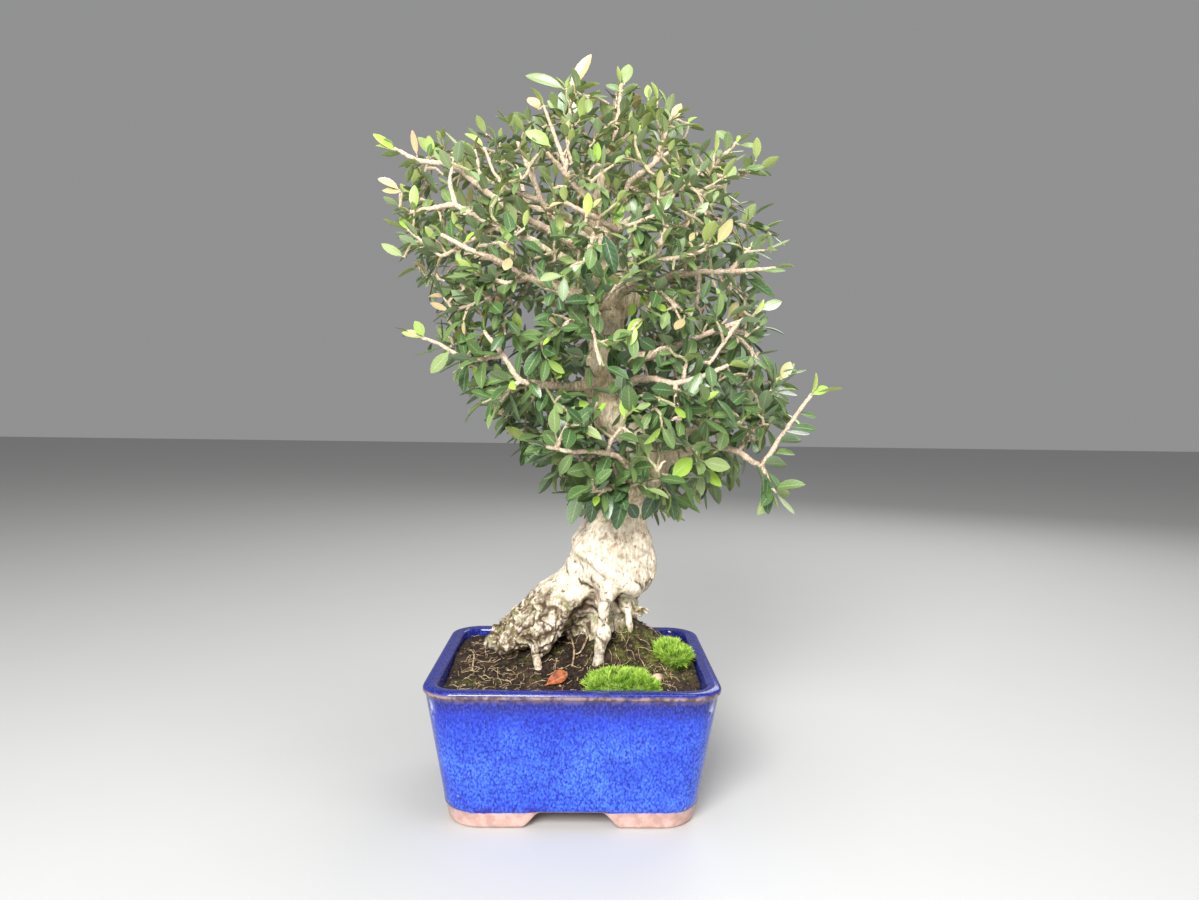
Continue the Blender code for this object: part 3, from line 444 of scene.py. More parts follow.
def makePot():
    shape = potShape
    lowX, lowY = potHalf(0)
    hollowX, hollowY = lowX - shape["footBand"], lowY - shape["footBand"]
    top, corner, thick = shape["height"], shape["corner"], shape["glazeThick"]
    rimX, rimY = shape["length"] / 2, shape["depth"] / 2
    mouth = corner - shape["rimWidth"]
    stations = [
        (hollowX - 8, hollowY - 8, 3, shape["footHeight"]),
        (hollowX - 0.6, hollowY - 0.6, 8, shape["footHeight"]),
        (hollowX, hollowY, 8.5, lambda p: max(archLift(p), shape["footHeight"] - 0.6)),
        (hollowX, hollowY, 8.5, lambda p: max(archLift(p), 0.9)),
        (hollowX + 0.9, hollowY + 0.9, 9, archLift),
        (lowX - 2.2, lowY - 2.2, corner - 2.2, archLift),
        (lowX - 0.9, lowY - 0.9, corner - 0.9, lambda p: archLift(p) + 0.35),
        (lowX - 0.25, lowY - 0.25, corner - 0.25, lambda p: archLift(p, 0.99) + 1.0),
        (lowX + 0.05, lowY + 0.05, corner, lambda p: archLift(p, 0.9) + 2.0),
    ]
    marks = {"glazeBreak": [0] * 9, "cornerSide": [0] * 9}
    heights = [9.2, 9.8, 13, 18, 24, 32, 40, 48, 55, 61, 65, 67.2]
    for step, height in enumerate(heights):
        halfX, halfY = potHalf(height)
        swell = thick * min(1, step) + 0.25 * math.exp(-((height - 10.5) / 1.6) ** 2)
        stations.append((halfX + swell, halfY + swell, corner, height))
        marks["glazeBreak"].append(0.5 if height > 66 else 0)
    rim = [
        (-0.5, 0, 67.7, 0.8), (-0.12, 0, 68.0, 1), (0, 0, 68.4, 1), (0, 0, 69.1, 1), (-0.05, 0, 69.6, 0.4),
        (-0.3, 0, 70.2, 0), (-0.8, -0.3, 70.75, 0), (-1.6, -1, 71, 0), (-3.6, -3.2, 71.05, 0),
    ]
    for inward, cornerIn, height, share in rim:
        stations.append((rimX + inward, rimY + inward, corner + cornerIn, height))
        marks["glazeBreak"].append(share)
    wall = shape["rimWidth"]
    for inward, height in ((1.5, 70.95), (0.7, 70.7), (0.2, 70.2), (0, 69.3)):
        stations.append((rimX - wall + inward, rimY - wall + inward, mouth + inward, height))
        marks["glazeBreak"].append(0.12 if height > 70.5 else 0)
    for height in (64, 40, shape["floor"] + 4):
        stations.append((*insideHalf(height), mouth, height))
        marks["glazeBreak"].append(0)
    floorX, floorY = insideHalf(shape["floor"])
    stations.append((floorX - 4, floorY - 4, 6, shape["floor"]))
    stations.append((floorX - 12, floorY - 12, 4, shape["floor"]))
    marks["glazeBreak"] += [0, 0]
    marks["cornerSide"] = [0] * len(stations)
    plan = ringPlan(14, 70, 56)
    bm = loftRings(plan, stations, marks)
    pool = bm.verts.layers.float.new("cornerPool")
    gleam = bm.verts.layers.float.new("cornerGleam")
    flank = bm.verts.layers.float.new("flank")
    for vert in bm.verts:
        near = math.hypot(abs(vert.co.x) - lowX + 6, abs(vert.co.y) - lowY + 2)
        vert[pool] = math.exp(-(near / 7) ** 2)
        # painted highlight mask: a vertical streak 3.4 mm in from each corner's edge, near the top of the body
        edgeX = abs(vert.co.x) - (potHalf(vert.co.z)[0] - 3.4)
        frontal = math.exp(-(edgeX / 1.2) ** 2) if vert.co.y < 0 else math.exp(-(edgeX / 1.2) ** 2) * 0.6
        band = math.exp(-((vert.co.z - 61) / 4.2) ** 2)
        vert[gleam] = frontal * band
        # painted shade mask: the turned-away flank of each rounded corner, between the foot and the rim
        turned = potHalf(vert.co.z)[0] - abs(vert.co.x)
        vert[flank] = math.exp(-(turned / 1.6) ** 2) * (0.9 if 9.5 < vert.co.z < 66 else 0)
    pot = holderFor(meshFrom(bm))
    for side in (-1, 1):
        hole = bmesh.new()
        place = Matrix.Translation((side * shape["drainOffset"], 0, shape["floor"] / 2))
        bmesh.ops.create_cone(hole, cap_ends=True, segments=40, radius1=shape["drainRadius"],
                              radius2=shape["drainRadius"], depth=60, matrix=place)
        drill = holderFor(meshFrom(hole))
        cut = pot.modifiers.new("drain", "BOOLEAN")
        cut.object = drill
        mesh = bake(pot)
        pot.modifiers.clear()
        pot.data = mesh
        bpy.data.objects.remove(drill, do_unlink=True)
    mesh = pot.data
    bpy.data.objects.remove(pot, do_unlink=True)
    finishPiece("glazed_pot", mesh, [glazeFinish()], ("pot",), 48)


# Soil
soilShape = {
    "edge": 65.2, "mound": 15, "middle": (6, 14), "spreadX": 42, "spreadFront": 24, "spreadBack": 27,
    "bank": 13, "bankMiddle": (27, 9), "bankSpread": (15, 16),
    "cell": 0.85, "crumb": 1.0, "stones": 420, "fibers": 420, "seed": 5,
}


def soilHeight(x, y):
    across = (x - soilShape["middle"][0]) / soilShape["spreadX"]
    spread = soilShape["spreadFront"] if y < soilShape["middle"][1] else soilShape["spreadBack"]
    depth = (y - soilShape["middle"][1]) / spread
    mound = soilShape["mound"] * math.exp(-(across * across + depth * depth) / 2)
    across = (x - soilShape["bankMiddle"][0]) / soilShape["bankSpread"][0]
    depth = (y - soilShape["bankMiddle"][1]) / soilShape["bankSpread"][1]
    mound += soilShape["bank"] * math.exp(-(across * across + depth * depth) / 2)
    relief = math.sin(x * 0.21 + 1) * math.cos(y * 0.26) + 0.6 * math.sin(x * 0.43 - y * 0.39)
    return soilShape["edge"] + mound + relief * 0.6


def soilTop(x, y):
    # smooth soil with its crumbs
    spot = Vector((x, y, 0))
    crumbs = noise.fractal(spot / 5.5, 0.9, 2.1, 4) * 1.1
    grit = max(0, 0.5 - noise.voronoi(spot / 2.3)[0][0]) * 1.6 * soilShape["crumb"]
    grit += max(0, 0.45 - noise.voronoi(spot / 1.2 + Vector((9, 4, 0)))[0][0]) * 0.7
    return soilHeight(x, y) + crumbs * 0.9 + grit - 0.5


def soilFinish():
    finish = Finish("darkSoil")
    spot = finish.place()
    clump = finish.grain(spot, 9, 4, 0.6)
    fine = finish.grain(spot, 1.6, 4, 0.65)
    color = finish.mix(fine.rise(0.36, 0.64), (0.007, 0.005, 0.004), (0.040, 0.026, 0.016))
    color = finish.mix(clump.rise(0.5, 0.68) * 0.55, color, (0.085, 0.052, 0.030))
    flecks = 1 - finish.cells(spot, 2.2).rise(0.12, 0.24)
    flecks = flecks * finish.grain(spot, 3.1, 1).rise(0.5, 0.6)
    color = finish.mix(flecks, color, (0.36, 0.25, 0.15))
    away = finish.axis(spot, 0)
    behind = finish.axis(spot, 1)
    nearTrunk = away.rise(2, 22) * behind.rise(-34, -12) * (1 - away.rise(58, 70))
    green = nearTrunk * finish.grain(spot, 7, 4, 0.62).rise(0.42, 0.58)
    patches = finish.grain(spot, 13, 3, 0.6).rise(0.56, 0.66) * 0.8
    tone = finish.mix(fine.rise(0.4, 0.62), (0.040, 0.045, 0.010), (0.150, 0.150, 0.035))
    color = finish.mix((green * 0.85 + patches * 0.5).clamped(), color, tone)
    return finish.dress(color=color, roughness=0.93, normal=finish.bump(fine, 0.5, 0.8), specular=0.25)


def toRing(x, y, halfX, halfY, corner):
    # moves a point of the square -1 to 1 onto a rectangle with round corners
    reach = max(abs(x), abs(y))
    if reach < 1e-9:
        return 0, 0
    dirX, dirY = x * halfX / reach, y * halfY / reach
    overX, overY = abs(dirX) - (halfX - corner), abs(dirY) - (halfY - corner)
    shrink = 1
    if overX > 0 and overY > 0:
        low, high = 0, 1
        for _ in range(18):
            shrink = (low + high) / 2
            partX = max(0, abs(dirX) * shrink - halfX + corner)
            partY = max(0, abs(dirY) * shrink - halfY + corner)
            if math.hypot(partX, partY) > corner:
                high = shrink
            else:
                low = shrink
    return dirX * shrink * reach, dirY * shrink * reach


def makeSoil():
    halfX, halfY = insideHalf(soilShape["edge"])
    halfX, halfY = halfX - 0.15, halfY - 0.15
    bm = bmesh.new()
    bmesh.ops.create_grid(bm, x_segments=round(2 * halfX / soilShape["cell"]),
                          y_segments=round(2 * halfY / soilShape["cell"]), size=1)
    for vert in bm.verts:
        x, y = toRing(vert.co.x, vert.co.y, halfX, halfY, potShape["corner"] - potShape["rimWidth"])
        vert.co = Vector((x, y, soilTop(x, y)))
    edges = [edge for edge in bm.edges if edge.is_boundary]
    for height, share in ((56, 0.985), (potShape["floor"] + 4.5, 0.93), (potShape["floor"] + 0.4, 0.87)):
        grown = bmesh.ops.extrude_edge_only(bm, edges=edges)["geom"]
        fresh = {part for part in grown if isinstance(part, bmesh.types.BMVert)}
        edges = [part for part in grown if isinstance(part, bmesh.types.BMEdge) and set(part.verts) <= fresh]
        for vert in fresh:
            spanX, spanY = insideHalf(height)
            vert.co.x *= (spanX - 0.3) / halfX if height > 50 else (spanX - 0.6) / insideHalf(56)[0]
            vert.co.y *= (spanY - 0.3) / halfY if height > 50 else (spanY - 0.6) / insideHalf(56)[1]
            vert.co.z = height
        if height > 50:
            continue
    bmesh.ops.holes_fill(bm, edges=[edge for edge in bm.edges if edge.is_boundary])
    bmesh.ops.recalc_face_normals(bm, faces=bm.faces)
    finishPiece("soil_bed", meshFrom(bm), [soilFinish()], ("soil",), 80)


# Trunk
trunkShape = {"voxel": 0.9, "smoothing": 4, "seed": 3, "seatRadius": 2.1}
trunkLine = (
    (16, 9, 60, 14), (16, 9, 80, 14), (17, 8, 95, 13), (18, 6, 104, 17),
    (18, 4, 115, 22), (19, 4, 124, 22), (18, 4, 132, 20), (22, 5, 142, 16.5),
    (27, 4, 150, 13), (32, 1, 159, 11), (37, -2, 168, 11), (40, -4, 177, 11),
    (37, -4, 186, 10.5), (30, -3, 194, 10), (21, -1, 201, 9.5), (15, 2, 209, 9),
    (12, 5, 218, 8.5), (12, 6, 229, 8), (14, 4, 240, 8), (17, 1, 250, 8),
    (18, -1, 261, 8), (18, -2, 272, 7.5), (15, 0, 283, 6.5), (11, 2, 296, 5.5),
    (9, 3, 308, 4.5), (8, 3, 318, 3.6),
)
rootLines = (
    ((2, 6, 108, 14), (-12, 8, 98, 12), (-25, 9, 90, 9), (-37, 9, 82, 7), (-47, 9, 74, 4.5)),
    ((6, 0, 107, 12), (-8, -5, 97, 11), (-20, -8, 89, 9), (-31, -8, 82, 6.5), (-39, -8, 76, 4)),
    ((-3, -6, 101, 9), (-12, -10, 91, 7.5), (-16, -12, 83, 6), (-19, -13, 75, 4)),
    ((4, 8, 98, 11), (2, 9, 88, 10), (0, 10, 80, 8)),
    ((0, 1, 102, 12), (-15, -1, 91, 10.5), (-27, -2, 82, 8), (-37, -2, 73, 5)),
    ((17, -13, 119, 5), (16, -16, 110, 5.6), (16, -17, 101, 5.2), (15, -17.5, 90, 4.6), (14, -18, 80, 4), (14, -18, 66, 3)),
    ((25, 2, 101, 3.4), (30, -2, 97, 2.6), (34, -3, 98, 2.4), (36, -3, 96, 3)),
    ((34, -3, 98, 1.6), (37, -6, 99, 1.5), (39, -6, 97, 1.8)),
    ((27, -5, 100, 1.8), (29, -8, 93, 1.5), (30, -10, 86, 1.2)),
    ((26, 12, 102, 8), (28, 20, 90, 6.5), (31, 29, 80, 5), (34, 38, 68, 3.5)),
    ((6, 16, 105, 10), (-4, 26, 92, 7.5), (-14, 34, 80, 5.5), (-24, 40, 67, 3.5)),
    ((16, 16, 106, 11), (17, 29, 91, 7.5), (18, 41, 78, 5.5), (19, 49, 67, 3.5)),
    ((28, 3, 116, 15.5), (29, 3, 126, 14.5), (29, 4, 136, 12.5)),
    ((6, 3, 113, 13.5), (8, 3, 122, 13)),
    ((3, -10, 131, 4), (10, -15, 127, 4.6), (19, -16.5, 121, 5), (28, -13, 115, 5.5), (34, -8, 110, 5)),
    ((8, -12, 118, 4), (10, -14, 110, 3.6), (11, -13.5, 103, 3)),
)
# Branches: the limb on the trunk, the leading twig and its side twigs, as the photograph shows them
branchLines = {
    "left_top": (
        ((15, 1, 279), (-2, -10, 289), (-15, -20, 295)),
        ((-31, -30, 301), (-46, -32, 311), (-61, -32, 323), (-79, -28, 326), (-92, -23, 333)),
        ((-45, -32, 310), (-48, -33, 318), (-51, -31, 331)),
    ),
    "left_shoulder": (
        ((17, 0, 267), (-4, -19, 279), (-22, -32, 287)),
        ((-40, -40, 292), (-59, -40, 302), (-72, -36, 301), (-84, -30, 300)),
        ((-59, -40, 302), (-62, -40, 313), (-60, -40, 324)),
        ((-40, -40, 292), (-52, -37, 286), (-67, -33, 279), (-84, -29, 292)),
    ),
    "left_middle": (
        ((18, 0, 256), (-1, -21, 261), (-16, -37, 266)),
        ((-27, -43, 269), (-38, -47, 275), (-52, -48, 280), (-65, -45, 287)),
        ((-23, -40, 268), (-34, -48, 264), (-48, -52, 268)),
        ((-26, -42, 269), (-45, -39, 257), (-63, -34, 252)),
    ),
    "left_front": (
        ((14, 0, 222), (4, -18, 217), (-8, -32, 216)),
        ((-18, -41, 217), (-27, -45, 218), (-35, -48, 230), (-44, -48, 241)),
        ((-27, -45, 218), (-32, -47, 214), (-36, -47, 208)),
        ((-35, -48, 230), (-53, -39, 228), (-68, -33, 236), (-82, -27, 241)),
    ),
    "front_low": (
        ((39, -6, 170), (34, -19, 171), (29, -31, 174)),
        ((21, -41, 182), (8, -50, 185), (-3, -54, 185), (-14, -56, 187)),
        ((15, -45, 183), (17, -48, 190), (23, -49, 198)),
        ((8, -50, 185), (7, -54, 191), (7, -56, 198)),
        ((-9, -55, 186), (-6, -57, 193), (-4, -60, 198)),
    ),
    "front_hanging": (
        ((31, -6, 160), (27, -18, 163), (24, -27, 166)),
        ((19, -38, 167), (14, -46, 166), (8, -52, 166)),
        ((22, -31, 166), (32, -38, 169), (41, -42, 171)),
    ),
    "right_low": (
        ((45, -2, 177), (56, -9, 182), (64, -16, 186)),
        ((71, -22, 187), (83, -22, 184), (95, -22, 177), (107, -21, 195), (121, -18, 214)),
        ((83, -22, 184), (92, -22, 198), (102, -22, 222)),
        ((95, -22, 177), (99, -23, 170), (100, -23, 164)),
    ),
    "right_front": (
        ((14, 0, 211), (23, -16, 216), (30, -29, 220)),
        ((39, -37, 220), (48, -42, 218), (60, -46, 221), (73, -45, 227)),
        ((52, -43, 219), (52, -45, 223), (53, -46, 228)),
        ((48, -42, 218), (48, -47, 210), (50, -50, 200)),
    ),
    "right_middle": (
        ((15, 2, 234), (32, -11, 232), (44, -22, 235)),
        ((57, -27, 240), (69, -31, 245), (87, -30, 252)),
        ((80, -30, 249), (71, -38, 237), (64, -43, 227)),
        ((74, -31, 247), (85, -24, 239), (94, -21, 229)),
    ),
    "right_upper": (
        ((18, 0, 252), (32, -11, 260), (42, -22, 267)),
        ((47, -30, 272), (63, -34, 273), (80, -33, 274), (98, -30, 276)),
        ((60, -33, 273), (60, -31, 265), (59, -30, 257)),
        ((75, -33, 274), (80, -32, 279), (85, -31, 286)),
    ),
    "right_shoulder": (
        ((16, 0, 272), (33, 8, 287), (48, 11, 298)),
        ((63, 12, 311), (69, 10, 324), (72, 6, 336), (83, 3, 347)),
        ((65, 11, 315), (77, 6, 306), (99, 2, 302)),
        ((71, 8, 331), (83, 4, 329), (95, 3, 333)),
    ),
    "right_top": (
        ((12, 2, 295), (18, -6, 302), (23, -14, 309)),
        ((25, -19, 319), (34, -26, 325), (44, -29, 332)),
        ((37, -27, 327), (41, -27, 337), (44, -27, 348)),
        ((25, -18, 317), (38, -24, 312), (55, -24, 317)),
    ),
    "top": (
        ((8, 3, 308), (10, 2, 318), (12, 1, 328)),
        ((14, 0, 338), (18, -4, 344), (20, -6, 359), (21, -6, 373)),
        ((14, 0, 338), (7, 6, 345), (0, 8, 355), (-7, 24, 380)),
        ((18, -4, 344), (29, 2, 355), (37, 4, 362), (59, 20, 362)),
    ),
    "top_left": (
        ((8, 3, 308), (6, -8, 312), (5, -18, 312)),
        ((0, -24, 314), (-7, -29, 321), (-16, -32, 330)),
        ((-5, -27, 319), (-10, -25, 334), (-18, -24, 355)),
        ((-7, -29, 321), (-4, -23, 344), (-7, -19, 365)),
    ),
    "front_top": (
        ((14, 2, 282), (15, -14, 287), (17, -28, 290)),
        ((18, -38, 292), (6, -50, 296), (-6, -58, 300)),
        ((18, -36, 292), (29, -48, 294), (38, -53, 297)),
        ((10, -46, 295), (6, -60, 281), (3, -65, 272)),
    ),
    "left_bare": (
        ((12, 4, 297), (-2, -8, 302), (-11, -18, 304)),
        ((-17, -29, 305), (-21, -35, 313), (-24, -37, 324)),
        ((-18, -31, 307), (-35, -27, 313), (-42, -28, 321), (-47, -28, 333)),
        ((-20, -34, 311), (-29, -30, 332), (-33, -27, 343)),
    ),
    "front_centre": (
        ((19, -4, 246), (15, -18, 247), (11, -32, 248)),
        ((4, -47, 249), (-4, -58, 245), (-11, -64, 239)),
        ((7, -40, 249), (13, -56, 256), (18, -63, 262)),
        ((6, -44, 249), (9, -60, 235), (11, -66, 225)),
    ),
    "front_right": (
        ((18, -4, 260), (22, -18, 264), (27, -31, 267)),
        ((32, -45, 271), (38, -55, 280), (41, -61, 290)),
        ((30, -40, 270), (44, -50, 257), (54, -51, 249)),
        ((35, -50, 275), (53, -52, 278), (66, -48, 284)),
    ),
    "back_low_right": (
        ((42, 2, 180), (55, 16, 188), (64, 29, 193)),
        ((78, 39, 197), (94, 45, 205), (112, 43, 212), (112, 18, 220)),
        ((78, 39, 197), (85, 42, 183), (89, 44, 171)),
        ((71, 34, 195), (67, 51, 208), (64, 62, 223), (78, 57, 249)),
    ),
    "back_low_left": (
        ((22, 2, 198), (11, 18, 196), (-1, 31, 195)),
        ((-14, 41, 194), (-28, 48, 198), (-44, 50, 201), (-51, 52, 230)),
        ((-11, 39, 194), (-10, 51, 180), (-13, 57, 167), (12, 48, 152)),
        ((-14, 41, 194), (-20, 54, 209), (-23, 60, 221), (-16, 39, 241)),
    ),
    "back_low": (
        ((41, 6, 172), (41, 21, 175), (39, 34, 178)),
        ((37, 51, 182), (34, 70, 186), (28, 82, 188), (15, 79, 215)),
        ((38, 46, 181), (50, 57, 173), (60, 61, 163)),
        ((36, 60, 184), (26, 69, 173), (17, 74, 164)),
    ),
    "back_middle": (
        ((15, 4, 230), (16, 20, 236), (15, 36, 242)),
        ((15, 54, 249), (13, 72, 258), (9, 86, 265)),
        ((15, 50, 248), (1, 63, 243), (-14, 68, 239), (-42, 69, 250)),
        ((14, 60, 252), (30, 70, 244), (44, 73, 241), (56, 72, 268)),
    ),
    "back_left": (
        ((17, 2, 260), (0, 20, 269), (-15, 32, 276)),
        ((-34, 40, 283), (-53, 42, 290), (-73, 39, 294), (-90, 16, 302)),
        ((-43, 41, 286), (-53, 47, 273), (-64, 47, 260), (-65, 27, 238)),
        ((-31, 39, 282), (-43, 46, 302), (-52, 49, 317), (-38, 67, 328)),
    ),
    "back_right": (
        ((18, 2, 258), (37, 19, 270), (53, 32, 280)),
        ((70, 39, 287), (86, 41, 293), (101, 37, 298)),
        ((75, 40, 289), (88, 42, 275), (100, 39, 266), (91, 21, 244)),
        ((67, 38, 286), (70, 47, 307), (74, 50, 321)),
    ),
    "back_centre": (
        ((19, 4, 262), (20, 22, 272), (21, 40, 281)),
        ((22, 57, 292), (20, 75, 305), (16, 88, 315)),
        ((22, 53, 290), (6, 70, 294), (-8, 75, 295), (-28, 73, 272)),
        ((21, 65, 298), (34, 73, 308), (45, 74, 317), (44, 63, 335)),
    ),
    "back_top_left": (
        ((12, 4, 292), (-2, 20, 303), (-16, 32, 313)),
        ((-30, 39, 322), (-46, 41, 332), (-63, 36, 338), (-74, 8, 341)),
        ((-31, 39, 322), (-35, 43, 339), (-41, 42, 351), (-51, 14, 352)),
        ((-37, 40, 326), (-52, 46, 322), (-68, 44, 315), (-94, 31, 321)),
    ),
    "back_top": (
        ((10, 6, 305), (12, 22, 317), (15, 36, 328)),
        ((17, 48, 340), (18, 56, 354), (17, 56, 365), (20, 32, 383)),
        ((17, 46, 338), (0, 55, 348), (-15, 55, 352), (-29, 32, 365)),
        ((18, 52, 347), (35, 57, 353), (47, 55, 358)),
    ),
    "back_top_right": (
        ((12, 4, 295), (27, 18, 308), (38, 30, 318)),
        ((52, 37, 328), (67, 39, 337), (81, 36, 347)),
        ((54, 37, 329), (53, 43, 346), (51, 43, 360), (37, 51, 374)),
        ((63, 38, 334), (76, 44, 326), (91, 41, 323)),
    ),
}


def limbLines():
    lines = []
    for limb, *_ in branchLines.values():
        thick = 4.2 if limb[0][2] < 250 else 3.2
        seat = trunkShape["seatRadius"]
        radii = (thick, (thick + seat) / 2, seat)
        points = [Vector(point) for point in limb]
        points.append(points[-1] + (points[-1] - points[-2]).normalized() * 2)
        smooth = smoothLine(points, 3)
        last = len(smooth) - 1
        lines.append([(point, radii[0] + (seat - radii[0]) * (index / last) ** 0.8)
                      for index, point in enumerate(smooth)])
    return lines


def barkRelief(point):
    # how far the bark stands out at a place, how dark its fissures are with painted shade in its hollows, and where a
    # lobe gets a painted highlight
    low = max(0, min(1, (152 - point.z) / 40))
    foot = max(0, min(1, (108 - point.z) / 14)) * max(0, min(1, (12 - point.x) / 14))
    away = Vector((point.x - 18, point.y - 4, 0))
    angle = math.atan2(away.y, away.x)
    swirl = math.sin(angle * 3 + point.z * 0.11 + noise.noise(point / 16) * 3) * 1.3 * low * (1 - foot)
    around = angle * 15 + point.z * 0.5
    wrinkle = noise.noise(Vector((around / 2.1, point.z / 9, 4)) + Vector((noise.noise(point / 7), 0, 0)) * 2) * low
    lumps = noise.noise(point / 12) * 1.3 * low + noise.noise(point / 5.5 + Vector((3, 7, 1))) * (0.55 + foot)
    drift = Vector((noise.noise(point / 8), noise.noise(point / 8 + Vector((5, 0, 0))), 0)) * 1.6
    fibers = noise.noise(Vector((point.x / 1.5, point.y / 1.5, point.z / (7 - 3 * low))) + drift)
    rough = abs(noise.noise(point / 3.6 + drift)) - 0.25
    crevice = max(0, 0.11 - abs(noise.noise(point / 7.5 + drift * 0.4))) * (foot * 14 + 1.2)
    pits = max(0, noise.noise(point / 1.5 + Vector((8, 8, 8))) - 0.3) * (0.5 + low)
    # the hollow and the strips beside the central root are sunk into the surface and also get painted shade below
    hollow = math.exp(-((point - Vector((3.5, -13, 93))).length / 7) ** 2)
    front = max(0, min(1, (-6 - point.y) / 4))
    rises = max(0, min(1, (120 - point.z) / 6)) * max(0, min(1, (point.z - 84) / 5))
    hollow += 0.62 * math.exp(-((point.x - 8) / 2.4) ** 2) * front * rises
    hollow += 0.7 * math.exp(-((point.x - 23) / 2.6) ** 2) * front * rises * max(0, min(1, (110 - point.z) / 6))
    out = swirl + lumps + fibers * 0.24 + wrinkle * 0.95 + rough * 1.1 * foot - crevice * 1.2 - pits * 0.9 - hollow * 5
    # darker in crevices, pits, fibre and wrinkle troughs, plus painted shade in the hollows
    dark = crevice * 0.75 + pits * 1.5 + max(0, -fibers - 0.12) * (0.7 + foot) + hollow * 0.9
    dark += max(0, -wrinkle - 0.12) * 1.9
    # painted highlight mask: the front lobes and the front of the central root
    lobe = math.exp(-((point - Vector((-14, -15, 89))).length / 9.5) ** 2)
    lobe = max(lobe, math.exp(-((point - Vector((1, -14, 112))).length / 8) ** 2))
    lobe = max(lobe, math.exp(-((point.x - 15) / 5) ** 2) * max(0, min(1, (-11 - point.y) / 3)))
    return out, min(1, dark), lobe


def barkFinish():
    finish = Finish("creamBark")
    spot = finish.place()
    height = finish.axis(spot, 2)
    side = finish.axis(spot, 0)
    stretched = finish.place((1, 1, 0.3))
    fissure = finish.mark("fissure")
    flow = finish.grain(stretched, 1.4, 4, 0.62)
    patch = finish.grain(spot, 9, 4, 0.6)
    mottled = finish.grain(spot, 3.4, 5, 0.66)
    pale = finish.mix(flow.rise(0.3, 0.6), (0.62, 0.49, 0.34), (0.88, 0.79, 0.64))
    golden = finish.mix(flow.rise(0.34, 0.6), (0.60, 0.43, 0.24), (0.95, 0.84, 0.62))
    color = finish.mix(height.rise(138, 162), pale, golden)
    color = finish.mix(patch.rise(0.52, 0.66) * 0.5, color, (0.62, 0.47, 0.32))
    flecks = finish.grain(stretched, 0.9, 3, 0.7).rise(0.58, 0.66) * patch.rise(0.4, 0.6)
    color = finish.mix((flecks * 0.7).clamped(), color, (0.36, 0.19, 0.10))
    neck = height.rise(124, 138) * (1 - height.rise(150, 168))
    color = finish.mix(neck * mottled.rise(0.54, 0.66) * 0.75, color, (0.32, 0.14, 0.075))
    rooty = (1 - (height + mottled * 8).rise(106, 113)) * (1 - side.rise(2, 9))
    color = finish.mix((rooty * mottled.rise(0.44, 0.58) * 0.95).clamped(), color, (0.17, 0.112, 0.058))
    earthy = 1 - height.rise(74, 96)
    color = finish.mix((earthy * mottled.rise(0.42, 0.58) * 0.8).clamped(), color, (0.12, 0.08, 0.042))
    damp = (1 - height.rise(100, 121)) + 0.55 * side.rise(30, 40) * (1 - height.rise(118, 136))
    lichen = finish.grain(spot, 5, 5, 0.7).rise(0.47, 0.6) * damp
    color = finish.mix((lichen * 0.7).clamped(), color, (0.19, 0.195, 0.052))
    # painted highlight: the front lobes and the central root are brought to the pale bark colour
    shining = (finish.mark("lobe") * 1.3).clamped() * mottled.rise(0.66, 0.5)
    color = finish.mix(shining * 0.85, color, pale)
    # darker fissures, pits and troughs, with painted shade in the hollows beside the central root
    color = finish.mix((fissure * 1.15).clamped(), color, (0.085, 0.052, 0.028))
    relief = flow * 0.7 + finish.grain(spot, 0.8, 3) * 0.5
    return finish.dress(color=color, roughness=0.8, normal=finish.bump(relief, 0.4, 0.7), specular=0.3)


def makeTrunk():
    lines = [[(Vector(point[:3]), point[3]) for point in trunkLine]]
    for root in rootLines:
        line = [(Vector(point[:3]), point[3]) for point in root]
        back = (line[0][0] - line[1][0]).normalized() * line[0][1] * 0.6
        ahead = (line[-1][0] - line[-2][0]).normalized() * line[-1][1] * 0.6
        line = [(line[0][0] + back, line[0][1] * 0.7)] + line + [(line[-1][0] + ahead, line[-1][1] * 0.7)]
        lines.append(line)
    lines += limbLines()
    trunk = holderFor(tubeMesh(lines, 6))
    shell = trunk.modifiers.new("shell", "REMESH")
    shell.mode = "VOXEL"
    shell.voxel_size = trunkShape["voxel"]
    mesh = bake(trunk)
    bpy.data.objects.remove(trunk, do_unlink=True)
    bm = bmesh.new()
    bm.from_mesh(mesh)
    for _ in range(trunkShape["smoothing"]):
        bmesh.ops.smooth_vert(bm, verts=bm.verts, factor=0.5, use_axis_x=True, use_axis_y=True, use_axis_z=True)
    bm.normal_update()
    # darker fissures plus painted shade in the hollows
    fissure = bm.verts.layers.float.new("fissure")
    # painted highlight mask on the front lobes
    lobe = bm.verts.layers.float.new("lobe")
    for vert in bm.verts:
        out, dark, bright = barkRelief(vert.co)
        away = math.hypot(vert.co.x - 16, vert.co.y)
        reach = 1.0 if vert.co.z < 155 else 0.3 if away > 26 else 0.6
        vert.co += vert.normal * out * reach
        vert[fissure] = dark
        vert[lobe] = bright
    bm.to_mesh(mesh)
    bm.free()
    tree = BVHTree.FromPolygons([vert.co.copy() for vert in mesh.vertices],
                                [tuple(face.vertices) for face in mesh.polygons])
    finishPiece("trunk_and_roots", mesh, [barkFinish()], ("trunk",), 80)
    return tree


# Leaves
leafShape = {
    "stations": (0, 0.1, 0.25, 0.43, 0.61, 0.79, 0.93, 1),
    "widths": (0.05, 0.07, 0.33, 0.47, 0.49, 0.38, 0.18, 0),
    "thick": 0.022,
    "forms": ((0.16, 0.05, 0.0), (0.30, 0.16, 0.1), (0.22, 0.26, -0.1), (0.10, -0.08, 0.05), (0.36, 0.10, -0.15)),
}


